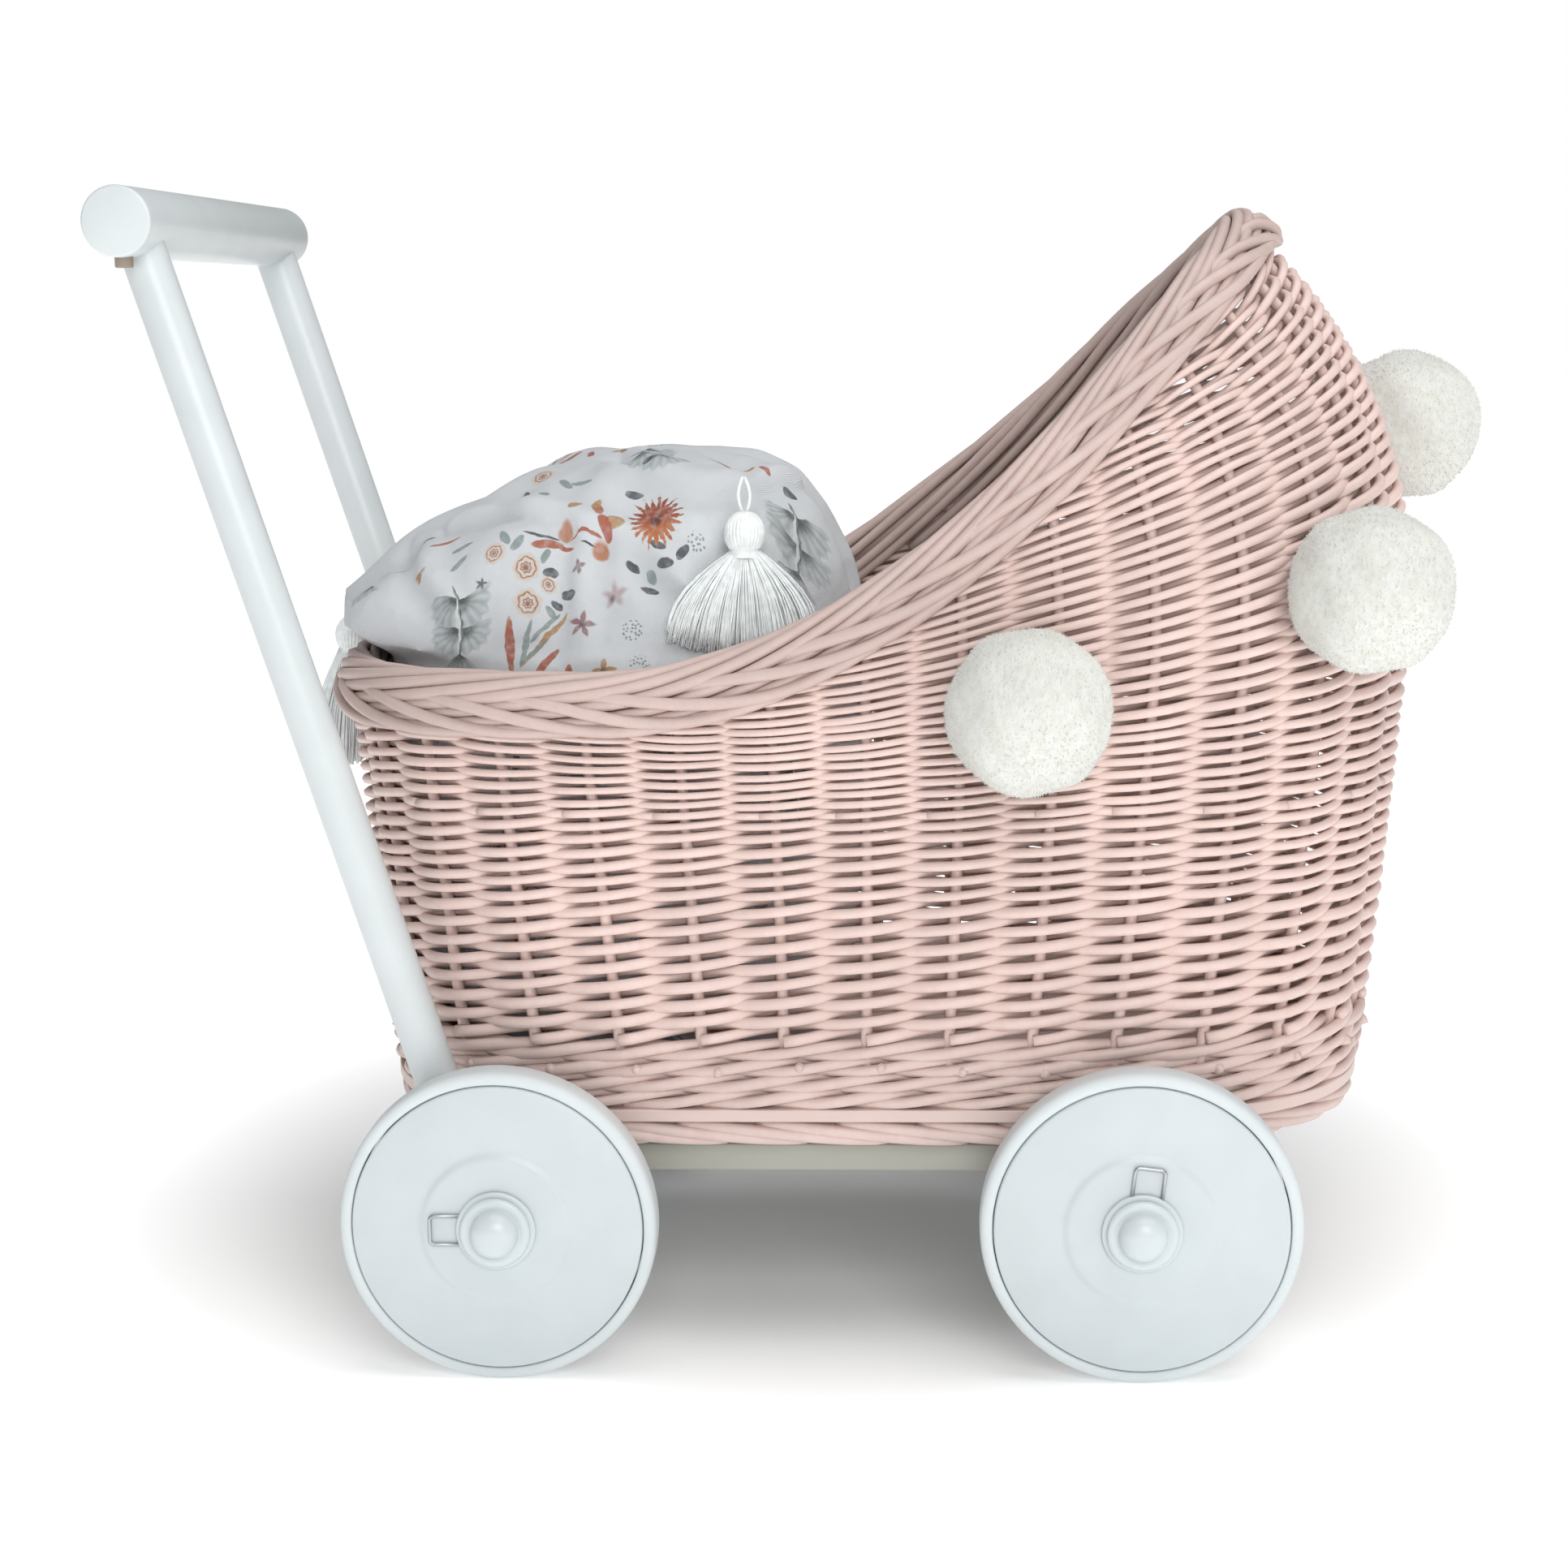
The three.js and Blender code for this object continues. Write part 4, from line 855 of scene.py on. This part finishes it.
class STROLLER_OT_handle(bpy.types.Operator):
    """Grip bar, rods and pegs"""

    bl_idname = "stroller.handle"
    bl_label = "Handle"

    def execute(self, context):
        c = tints()
        wood = paint("handle_paint", c.wood, roughness=0.36, grain=0.00005, coat=0.1)
        low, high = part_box("grip_bar")
        centre = (low + high) / 2
        bm = bmesh.new()
        round_bar(bm, (centre.x, low.y, centre.z), (centre.x, high.y, centre.z), (high.z - low.z) / 2, 96, 1.2)
        show("grip", closed_mesh("grip", bm), wood, "pram", ["grip_bar"])
        foot = Vector((REAR_X - ROD_BEHIND, 0, ROD_FOOT)) * MM
        run = (centre - foot).normalized()
        top = centre - run * ROD_SHORT * MM
        for hand, side in (("right", -1), ("left", 1)):
            shift = Vector((0, side * ROD_OUT * MM, 0))
            bm = bmesh.new()
            round_bar(bm, foot + shift, top + shift, ROD_RADIUS * MM, 64, 1.0)
            show(f"rod_{hand}", closed_mesh("rod", bm), wood, "pram", [f"handle_rod_{hand}"])
        bare = raw_wood("bare_beech", c.beech)
        for hand, side in (("right", -1), ("left", 1)):
            base = Vector((centre.x, side * PEG_OUT * MM, low.z))
            bottom, inside = base - Vector((0, 0, PEG_BELOW * MM)), base + Vector((0, 0, PEG_ABOVE * MM))
            bm = bmesh.new()
            round_bar(bm, bottom, inside, PEG_RADIUS * MM, 32, 0.7)
            show(f"peg_{hand}", closed_mesh("peg", bm), bare, "pram", [f"grip_peg_{hand}"])
        return {"FINISHED"}


WALING_ROWS = (118.4, 125.8, 133.2, 140.4)
ROD_END = ((3.0, (0, 0, 0)), (5.5, (0.6, 0, 1.2)), (7.6, (1.2, 0, 2.6)))  # out from the wall, and a shift


class STROLLER_OT_basket_foot(bpy.types.Operator):
    """Plywood floor, twisted foot and waling round the bottom"""

    bl_idname = "stroller.basket_foot"
    bl_label = "Basket foot"

    def execute(self, context):
        s, c = settings(), tints()
        # Painted shade: the foot and waling take the willow pink at 0.92 and the plywood edge at 0.88, darker copies
        # set for how the light falls on the bottom of the basket.
        willow = willow_paint("willow_foot_painted_shade", colour(c.willow, 0.92)[:3], colour(c.willow_deep, 0.92)[:3])
        ply = paint("ply_painted_shade", colour(c.willow, 0.88)[:3], roughness=0.45, grain=0.00008)
        low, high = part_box("basket_floor")
        u = np.arange(STAKES * FINE) / FINE
        outline = wall_at(share_of(u), low.z / MM, -1.6) * MM
        bm = bmesh.new()
        ring = [bm.verts.new(p) for p in outline]
        sheet = bm.faces.new(ring)
        raised = bmesh.ops.extrude_face_region(bm, geom=[sheet], use_keep_orig=True)
        verts = [v for v in raised["geom"] if isinstance(v, bmesh.types.BMVert)]
        bmesh.ops.translate(bm, verts=verts, vec=(0, 0, high.z - low.z))
        floor = show("plywood_floor", closed_mesh("plywood_floor", bm), ply, "pram", ["basket_floor"])
        soften(floor, 0.8 * MM, 2, 60)

        draw = random.Random(41)
        paths = []
        for k in range(STAKES):
            step = np.linspace(-0.35, 2.25, 24)
            share = (step + 0.35) / 2.6
            where = share_of(k + step)
            z = 105.6 - 6.8 * ease(share) + 0.25 * draw.uniform(-1, 1)
            out = -3.4 + 4.6 * np.sin(math.pi * share) ** 0.6
            normal = wall_normal(where, z)
            paths.append((wall_at(where, z, 2.6) + normal * out[:, None], 1.0 - 0.12 * share, False))
        around = share_of(np.arange(STAKES * 4) / 4)
        for level in (99.4, 104.6):
            paths.append((wall_at(around, level, 8.0), 1.0, True))
        rods("twisted_foot", paths, 3.0, 2, willow, "pram", ["foot_border"])

        turns = STAKES // 3 + 1
        fine = 8
        at = np.arange(STAKES * fine) / fine
        where = share_of(at)
        paths = []
        for row, z0 in enumerate(WALING_ROWS):
            for j in range(3):
                phase = math.tau * (at * turns / STAKES - j / 3 + row * 0.41)
                wobble = 0.25 * np.sin(math.tau * at * 5 / STAKES + row * 2.1 + j)
                z = z0 + 2.7 * np.sin(phase) + wobble
                out = 0.4 + 4.3 * np.cos(phase)
                points = wall_at(where, z) + wall_normal(where, z) * out[:, None]
                paths.append((points, 1.0 + 0.06 * np.sin(phase * 0.5 + j), True))
        for k in range(STAKES):
            where = share_of(k + 0.16)
            z = 131.0 + 1.5 * draw.uniform(-1, 1)
            base, normal = wall_at(where, z), wall_normal(where, z)
            end = [base + normal * out + aside for out, aside in ROD_END]
            paths.append((np.array(end), 0.78, False))
        rods("waling", paths, s.waling_rod / MM / 2, 2, willow, "pram", ["waling_band"])
        return {"FINISHED"}


class STROLLER_OT_basket_wall(bpy.types.Operator):
    """Stakes and weavers of the wall and hood"""

    bl_idname = "stroller.basket_wall"
    bl_label = "Basket wall"

    def execute(self, context):
        s, c = settings(), tints()
        willow = willow_paint("painted_willow", c.willow, c.willow_deep)
        pitch = s.row_pitch / MM
        reach = (s.stake_thickness + s.weaver_thickness) / MM / 2 - 0.9
        t, rim, heights, rows = columns_of_weave()
        local = np.gradient(heights, axis=1) / np.maximum(np.gradient(rows, axis=1), 1e-6)
        draw = random.Random(7)
        lower, upper = [], []
        for w in range(STAKES):
            start = WEAVE_FOOT + 1.5 + pitch * draw.uniform(-0.05, 0.05)
            count = int((LAST_ROW - start) / pitch * FINE)
            steps = np.arange(count)
            level = start + pitch * steps / FINE
            column = (w * FINE + steps) % (STAKES * FINE)
            z = np.array([np.interp(v, rows[k], heights[k], right=OUT_OF_SIGHT) for v, k in zip(level, column)])
            squeeze = np.array([np.interp(v, rows[k], local[k]) for v, k in zip(level, column)])
            inside = z < rim[column] - BELOW_RIM
            phase = math.pi * steps / FINE
            wander = [draw.uniform(0, math.tau) for _ in range(3)]
            z = z + 0.32 * np.sin(steps * 0.11 + wander[0]) + 0.22 * np.sin(steps * 0.37 + wander[1])
            swing = np.cos(phase)
            out = reach * np.sign(swing) * np.abs(swing) ** 0.9
            thick = (1 + 0.07 * np.sin(steps * 0.023 + wander[2])) * np.clip(squeeze * 1.12, 0.64, 1.04)
            where = t[column]
            safe = np.where(inside, z, SIDE_TOP)
            points = wall_at(where, safe) + wall_normal(where, safe) * out[:, None]
            group = np.where(inside, np.where(level < WALL_HOOD_SPLIT, 1, 2), 0)
            begin = 0
            for i in range(1, count + 1):
                if i == count or group[i] != group[begin]:
                    last = min(i + 1, count) if group[begin] == 1 and i < count and group[i] == 2 else i
                    if group[begin] and last - begin > 1:
                        target = lower if group[begin] == 1 else upper
                        target.append((points[begin:last], thick[begin:last], False))
                    begin = i
        radius = s.weaver_thickness / MM / 2
        rods("woven_wall", lower, radius, 1, willow, "pram", ["basket_wall"])
        rods("woven_hood", upper, radius, 1, willow, "pram")

        paths = []
        for k in range(STAKES):
            where = float(share_of(k))
            top = float(rim_level(np.array([where]))[0])
            z = np.arange(115.0, top - 1, 7.0)
            lean = 0.35 * np.sin(z * 0.09 + k * 1.7)
            points = wall_at(np.full(len(z), where), z)
            points += wall_normal(np.full(len(z), where), z) * lean[:, None]
            paths.append((points, 1.0 - 0.16 * (z - 112) / 390, False))
        rods("stakes", paths, s.stake_thickness / MM / 2, 2, willow, "pram")
        return {"FINISHED"}


def rim_frames(u):
    """Points, wall normals and up directions along the rim's middle line."""
    t = share_of(u)
    z = rim_level(t)
    here = wall_at(t, z)
    step = 0.08
    ta, tb = share_of(u + step), share_of(u - step)
    along = unit(wall_at(ta, rim_level(ta)) - wall_at(tb, rim_level(tb)))
    normal = wall_normal(t, np.minimum(z, WALL_TOP - 2))
    normal = unit(normal - along * np.sum(normal * along, -1, keepdims=True))
    return here, normal, np.cross(normal, along)


BORDER_ROD = (
    # stakes along, out from the wall, up from the rim's middle line
    (-0.9, -2.0, -3.0), (-0.3, 2.5, 1.0), (0.15, 7.0, 3.2), (0.55, 10.0, 1.6), (1.0, 11.2, -2.6),
    (1.45, 11.0, -6.8), (2.0, 9.4, -10.6), (2.7, 8.2, -11.0), (3.5, 7.4, -8.8), (4.4, 7.2, -4.6),
    (5.3, 8.0, 0.2), (6.2, 8.2, 4.8), (7.0, 6.8, 8.6), (7.8, 3.6, 11.4), (8.6, -0.8, 12.0),
    (9.4, -5.0, 10.0), (10.2, -7.8, 5.8), (11.1, -8.6, 0.8), (12.0, -7.6, -4.8), (12.8, -5.4, -8.8),
)


class STROLLER_OT_rim_border(bpy.types.Operator):
    """Thick rods laid down over each other round the rim"""

    bl_idname = "stroller.rim_border"
    bl_label = "Rim border"

    def execute(self, context):
        s, c = settings(), tints()
        # Painted shade: the border takes the willow pink at 0.78, a darker copy that offsets the top light falling on
        # the rim.
        willow = willow_paint("willow_border_painted_shade", colour(c.willow, 0.78)[:3], colour(c.willow_deep, 0.78)[:3])
        along, outs, ups = np.array(BORDER_ROD).T
        draw = random.Random(19)
        paths = []
        for k in range(STAKES):
            step = np.arange(along[0], along[-1] + 0.001, 0.16)
            shift = draw.uniform(-0.14, 0.14)
            out = smooth_along(step + shift, along, outs) + draw.uniform(-0.35, 0.35)
            up = smooth_along(step + shift, along, ups) + draw.uniform(-0.5, 0.5)
            here, normal, over = rim_frames(k + step)
            points = here + normal * out[:, None] + over * up[:, None]
            fade = np.clip((step - 6) / 7, 0, 1)
            paths.append((points, (1 + draw.uniform(-0.05, 0.05)) * (1 - 0.22 * fade), False))
        u = np.arange(STAKES * 5) / 5
        here, normal, over = rim_frames(u)
        for out, up, thick in ((0.5, 4.0, 1.7), (0.5, -4.5, 1.7)):
            paths.append((here + normal * out + over * up, thick, True))
        rods("border", paths, s.border_rod / MM / 2, 2, willow, "pram", ["rim_border"])
        return {"FINISHED"}


def smooth_along(x, xs, ys):
    """Smooth curve through the given values."""
    slopes = np.gradient(ys, xs)
    i = np.clip(np.searchsorted(xs, x) - 1, 0, len(xs) - 2)
    width = xs[i + 1] - xs[i]
    s = np.clip((x - xs[i]) / width, 0, 1)
    h00, h10 = 2 * s**3 - 3 * s**2 + 1, s**3 - 2 * s**2 + s
    h01, h11 = -2 * s**3 + 3 * s**2, s**3 - s**2
    return h00 * ys[i] + h10 * width * slopes[i] + h01 * ys[i + 1] + h11 * width * slopes[i + 1]


POMPOMS = ((-0.415, 297.4), (-0.205, 341.7), (0.075, 397.7), (0.25, 352.0), (0.45, 297.4))  # t and height
BALL_RADIUS, BALL_OUT, BALL_FLAT = 35.0, 27.0, 24.0


class STROLLER_OT_pompoms(bpy.types.Operator):
    """Cut yarn balls on the hood"""

    bl_idname = "stroller.pompoms"
    bl_label = "Pompoms"

    def execute(self, context):
        s, c = settings(), tints()
        soft = yarn("pompom_yarn", c.pompom, c.pompom_shade)
        for number, (t, z) in enumerate(POMPOMS, 1):
            normal = wall_normal(t, z)
            centre = wall_at(t, z, 0.0) + normal * BALL_OUT
            self.ball(number, centre, normal, soft, s.tufts)
        return {"FINISHED"}

    def ball(self, number, centre, normal, soft, tufts):
        """A clipped ball of yarn ends with fine loose fibres, pressed flat against the wall."""
        draw = np.random.default_rng(100 + number)
        i = np.arange(tufts) + 0.5
        lift = np.arccos(1 - 2 * i / tufts)
        turn = math.pi * (1 + 5**0.5) * i
        way = np.stack([np.sin(lift) * np.cos(turn), np.sin(lift) * np.sin(turn), np.cos(lift)], -1)
        way = unit(way + draw.normal(0, 0.03, way.shape))
        length = BALL_RADIUS + 0.3 + self.swell(way, number) + draw.uniform(-0.2, 0.7, tufts)
        curl = unit(np.cross(way, draw.normal(0, 1, way.shape))) * draw.uniform(0.2, 1.0, (tufts, 1))
        paths = []
        for d, r, bend in zip(way, length, curl):
            stand = np.array([d * (r - 2.6), d * r + bend])
            depth = stand @ normal
            stand -= np.outer(np.minimum(depth + BALL_FLAT + 0.8, 0), normal)
            paths.append((stand + centre, (1.0, 0.35), False))
        rods(f"pompom_yarn_{number}", paths, 0.32, 0, soft, "pram", [f"pompom_{number}"])
        bm = bmesh.new()
        bmesh.ops.create_icosphere(bm, subdivisions=6, radius=1.0)
        ways = np.array([v.co for v in bm.verts])
        reach = BALL_RADIUS + self.swell(ways, number) + draw.uniform(-0.12, 0.12, len(ways))
        for v, d, r in zip(bm.verts, ways, reach):
            place = d * r
            place -= normal * min(place @ normal + BALL_FLAT, 0)
            v.co = Vector(place + centre) * MM
        show(f"pompom_core_{number}", closed_mesh("pompom_core", bm), soft, "pram")

    def swell(self, way, number):
        """Slow unevenness of the clipped ball, in millimetres."""
        turned_way = way @ np.array([[3.1, -1.2, 5.0], [1.7, 4.3, -2.2], [2.3, 2.9, 3.7]])
        return 0.45 * np.sin(turned_way * 1.6 + number).sum(-1)


PAD_TOP, PAD_TOP_X, PAD_TOP_Y = 300.0, -88.0, -8.0  # where the folds start, and the point that they run from
PAD_FOOT, PAD_HALF, PAD_TOP_HALF, PAD_NARROW_TO = 115.0, 106.5, 112.0, 312.0
CLOTH_AXIS, CLOTH_RADIUS = 270.0, 115.0  # the print is wound round a line at this height
FOLDS = (
    # line over the cloth, height of the fold, its half width
    (((-176, -44), (-141, -60), (-112, -77), (-89, -85), (-72, -100)), 4.0, 5.0),
    (((-116, -84), (-117, -110), (-114, -146)), 3.0, 5.0),
    (((-96, -22), (-84, -46), (-60, -58), (-40, -52), (-24, -34)), 3.4, 6.0),
    (((-98, -92), (-96, -118), (-104, -142)), 2.6, 6.0),
    (((-196, -40), (-190, -84), (-176, -112)), 3.4, 6.0),
    (((-34, -70), (-30, -96), (-40, -120)), 3.4, 6.0),
)


def fold(u, v, line, width):
    """A ridge on the left of a line with a groove on its right, and a share that falls to 0 away from it."""
    best = np.full(len(u), 1e9)
    side = np.ones(len(u))
    for a, b in zip(line, line[1:]):
        run = b - a
        share = np.clip(((u - a[0]) * run[0] + (v - a[1]) * run[1]) / (run @ run), 0, 1)
        dx, dy = u - a[0] - share * run[0], v - a[1] - share * run[1]
        reach = np.hypot(dx, dy)
        turn = np.sign(run[0] * dy - run[1] * dx)
        side = np.where(reach < best, turn, side)
        best = np.minimum(best, reach)
    near = best / width
    return side * near * np.exp(0.5 - near**2 / 2), np.clip(2.6 - near, 0, 1)


class STROLLER_OT_blanket(bpy.types.Operator):
    """Padded cotton blanket in the basket"""

    bl_idname = "stroller.blanket"
    bl_label = "Blanket"

    def execute(self, context):
        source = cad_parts["blanket"]
        mesh = source.data.copy()
        piece = bpy.data.objects.new("padded_blanket", mesh)
        context.scene.collection.objects.link(piece)
        bm = bmesh.new()
        bm.from_mesh(mesh)
        bmesh.ops.remove_doubles(bm, verts=bm.verts[:], dist=1e-5)
        bmesh.ops.recalc_face_normals(bm, faces=bm.faces[:])
        bm.to_mesh(mesh)
        bm.free()
        remesh = piece.modifiers.new("remesh", "REMESH")
        remesh.mode = "VOXEL"
        remesh.voxel_size = 0.0043
        self.apply(piece)
        self.rumple(piece.data)
        self.inflate(piece)
        self.flatten_back(piece.data)
        for polygon in piece.data.polygons:
            polygon.use_smooth = True
        soften_mesh = piece.modifiers.new("smooth", "SUBSURF")
        soften_mesh.levels = soften_mesh.render_levels = 1
        self.apply(piece)
        self.unwrap(piece.data)
        piece.data.materials.clear()
        piece.data.materials.append(printed_cotton("printed_cotton", settings()))
        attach(piece, "bedding")
        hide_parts("blanket")
        return {"FINISHED"}

    def apply(self, piece):
        """Replaces the piece's mesh by what its modifiers make of it."""
        bpy.context.view_layer.update()
        done = bpy.data.meshes.new_from_object(piece.evaluated_get(bpy.context.evaluated_depsgraph_get()))
        old = piece.data
        piece.modifiers.clear()
        piece.data = done
        bpy.data.meshes.remove(old)

    def places(self, mesh):
        """Coordinates of a mesh's points, one row each."""
        flat = np.empty(len(mesh.vertices) * 3)
        mesh.vertices.foreach_get("co", flat)
        return flat.reshape(-1, 3)

    def rumple(self, mesh):
        """Folds running down from the top, deeper near the rim."""
        co = self.places(mesh)
        normals = np.empty(len(mesh.vertices) * 3)
        mesh.vertices.foreach_get("normal", normals)
        normals = normals.reshape(-1, 3)
        x, y, z = (co / MM).T
        top = np.clip((z - PAD_TOP) / 40, 0, 1)
        turn = np.arctan2(y - PAD_TOP_Y, (x - PAD_TOP_X) * 0.9)
        reach = np.hypot(x - PAD_TOP_X, y - PAD_TOP_Y)
        folds = 2.6 * np.sin(turn * 7 + 0.04 * reach + 0.8) * np.clip(reach / 90, 0, 1)
        folds += 1.5 * np.sin(turn * 13 - 0.03 * reach + 2.0) * np.clip(reach / 100, 0, 1)
        folds += 1.6 * np.sin(x * 0.075 + y * 0.04 + 1.2) * np.sin(y * 0.085 - x * 0.03)
        u, v = self.lie(co).T / MM
        for line, depth, width in FOLDS:
            ridge, near = fold(u, v, np.array(line, float), width)
            folds += depth * ridge * near
        amount = folds * top - 1.0
        co += normals * amount[:, None] * MM
        mesh.vertices.foreach_set("co", co.ravel())
        mesh.update()

    def inflate(self, piece):
        """Fills the pad by cloth simulation and keeps the change small."""
        scene = bpy.context.scene
        before = self.places(piece.data)
        cloth = piece.modifiers.new("cloth", "CLOTH").settings
        cloth.quality = 5
        cloth.mass = 0.3
        cloth.tension_stiffness = cloth.compression_stiffness = 12
        cloth.bending_stiffness = 0.4
        cloth.use_pressure = True
        cloth.uniform_pressure_force = 4.0
        cloth.effector_weights.gravity = 0
        for number in range(1, 21):
            scene.frame_set(number)
        self.apply(piece)
        scene.frame_set(1)
        after = self.places(piece.data)
        move = after - before
        size = np.linalg.norm(move, axis=1, keepdims=True)
        cap = 5 * MM
        move *= np.minimum(1, cap / np.maximum(size, 1e-9))
        piece.data.vertices.foreach_set("co", (before + move).ravel())
        piece.data.update()

    def flatten_back(self, mesh):
        """Keeps the pad inside the basket's wall and off its floor."""
        co = self.places(mesh)
        limit = np.where(co[:, 2] / MM < PAD_NARROW_TO, PAD_HALF, PAD_TOP_HALF) * MM
        co[:, 1] = np.clip(co[:, 1], -limit, limit)
        co[:, 2] = np.maximum(co[:, 2], PAD_FOOT * MM)
        mesh.vertices.foreach_set("co", co.ravel())
        mesh.update()

    def lie(self, co):
        """Place on the cloth of points of the pad: wound round its upper half, straight down its sides."""
        x, y, z = co.T
        over = z - CLOTH_AXIS * MM
        turn = np.arctan2(y, np.maximum(over, 4 * MM))
        return np.stack([x, CLOTH_RADIUS * MM * turn - np.sign(y) * np.minimum(over, 0.0)], -1)

    def unwrap(self, mesh):
        """Lays the print over the pile: along it, and round it from the right side over the top."""
        layer = mesh.uv_layers.new(name="cloth")
        spot = self.lie(self.places(mesh))
        corner = np.empty(len(mesh.loops), int)
        mesh.loops.foreach_get("vertex_index", corner)
        layer.data.foreach_set("uv", spot[corner].ravel())


class STROLLER_OT_tassels(bpy.types.Operator):
    """Yarn tassels on the blanket"""

    bl_idname = "stroller.tassels"
    bl_label = "Tassels"

    def execute(self, context):
        s, c = settings(), tints()
        # Painted shade: a darker copy of the tassel yarn, mixed in as shade between the strands.
        cotton = yarn("tassel_yarn", c.tassel, colour(c.tassel, 0.86)[:3])
        self.tassel(
            "tassel_near", cotton, "bedding", "tassel_right", s.tassel_strands, 5,
            loop=(-38.5, -82.5, 392), neck=(-37.9, -88.3, 377), head=(-37.9, -89.6, 367.5),
            waist=(-37.9, -92.0, 358.0), hem=(-38.9, -101.5, 319.5), spread=(31.5, 3.0, 5.0), head_r=9.2,
        )
        self.tassel(
            "tassel_behind", cotton, "hanging_tassel", "tassel_rear", s.tassel_strands, 6,
            loop=(-243.9, 50, 326.5), neck=(-244.2, 50, 315.5), head=(-244.6, 50, 308.0),
            waist=(-245.2, 50, 300.5), hem=(-250.0, 50, 246.0), spread=(16.0, 14.0, 3.0), head_r=8.6,
        )
        return {"FINISHED"}

    def tassel(self, name, cotton, body, node, count, seed, loop, neck, head, waist, hem, spread, head_r):
        """A loop, a wrapped ball head, a band at its neck and a skirt of loose strands."""
        draw = np.random.default_rng(seed)
        neck, head, waist, hem = (np.array(p, float) for p in (neck, head, waist, hem))
        down = unit(hem - waist)
        paths = []
        for _ in range(count):
            a, q = draw.uniform(0, math.tau), math.sqrt(draw.uniform(0.02, 1))
            side = np.array([math.cos(a), math.sin(a), 0.0]) * q
            start = waist + side * (5.2, min(4.6, spread[1] + 1.5), 0) + down * -3
            end = hem + side * (spread[0], spread[1], 0) + (0, 0, draw.uniform(-spread[2], 1.0))
            end[2] += 6.5 * side[0] ** 2
            bow = side * (0.30 * spread[0], 0.30 * spread[1], 0) + draw.normal(0, 0.9, 3) * (1, 0.5, 0.2)
            steps = np.linspace(0, 1, 7)[:, None]
            line = start * (1 - steps) + end * steps + bow * (np.sin(steps * math.pi * 0.9)) * 0.75
            paths.append((line, np.linspace(1.0, 0.8, 7), False))
        rods(f"{name}_skirt", paths, 0.42, 0, cotton, body, [node])

        paths = []
        axis = unit(neck - waist)
        first = unit(np.cross(axis, (0.0, 1.0, 0.0)))
        second = np.cross(axis, first)
        for k in range(30):
            a = math.tau * k / 30
            ray = first * math.cos(a) + second * math.sin(a)
            lift = np.linspace(0.06, 0.94, 9) * math.pi
            line = [head + axis * math.cos(v) * head_r * 1.02 + ray * math.sin(v) * (head_r - 0.9) for v in lift]
            paths.append((np.array(line), 1.0, False))
        for k in range(5):
            a = np.linspace(0, math.tau, 25)[:-1]
            level = waist + axis * (k * 0.95 - 1.2)
            ring = [level + (first * math.cos(v) + second * math.sin(v)) * 5.6 for v in a]
            paths.append((np.array(ring), 0.6, True))
        top = np.array(loop, float)
        bottom = neck - axis * 2
        for way in (-1, 1):
            steps = np.linspace(0, 1, 10)[:, None]
            aside = np.array([way * 2.6, 0, 0]) * np.sin(steps * math.pi * 0.95 + 0.15)
            paths.append((top * (1 - steps) + bottom * steps + aside, 0.75, False))
        rods(f"{name}_head", paths, 1.05, 1, cotton, body)
        bm = bmesh.new()
        bmesh.ops.create_icosphere(bm, subdivisions=3, radius=(head_r - 0.8) * MM)
        bmesh.ops.translate(bm, verts=bm.verts[:], vec=Vector(head) * MM)
        show(f"{name}_ball", closed_mesh("ball", bm), cotton, body)


# ---- Panel and registration ------------------------------------------------------------------------
class STROLLER_PT_panel(bpy.types.Panel):
    """Doll stroller"""

    bl_idname = "STROLLER_PT_panel"
    bl_label = "Doll stroller"
    bl_space_type = "VIEW_3D"
    bl_region_type = "UI"
    bl_category = "Doll stroller"

    def draw(self, context):
        column = self.layout.column()
        for group in (context.scene.stroller_sizes, context.scene.stroller_colours):
            for key in group.__annotations__:
                column.prop(group, key)
        for operator in OPERATORS:
            column.operator(operator.bl_idname)


OPERATORS = (
    STROLLER_OT_stage,
    STROLLER_OT_chassis,
    STROLLER_OT_wheels,
    STROLLER_OT_handle,
    STROLLER_OT_basket_foot,
    STROLLER_OT_basket_wall,
    STROLLER_OT_rim_border,
    STROLLER_OT_pompoms,
    STROLLER_OT_blanket,
    STROLLER_OT_tassels,
)
CLASSES = (StrollerSizes, StrollerColours, *OPERATORS, STROLLER_PT_panel)


def register():
    for cls in CLASSES:
        bpy.utils.register_class(cls)
    bpy.types.Scene.stroller_sizes = bpy.props.PointerProperty(type=StrollerSizes)
    bpy.types.Scene.stroller_colours = bpy.props.PointerProperty(type=StrollerColours)


def unregister():
    del bpy.types.Scene.stroller_colours
    del bpy.types.Scene.stroller_sizes
    for cls in reversed(CLASSES):
        bpy.utils.unregister_class(cls)


def main():
    register()
    for operator in OPERATORS:
        _, name = operator.bl_idname.split(".")
        getattr(bpy.ops.stroller, name)()
    bpy.context.view_layer.update()


if __name__ == "__main__":
    main()
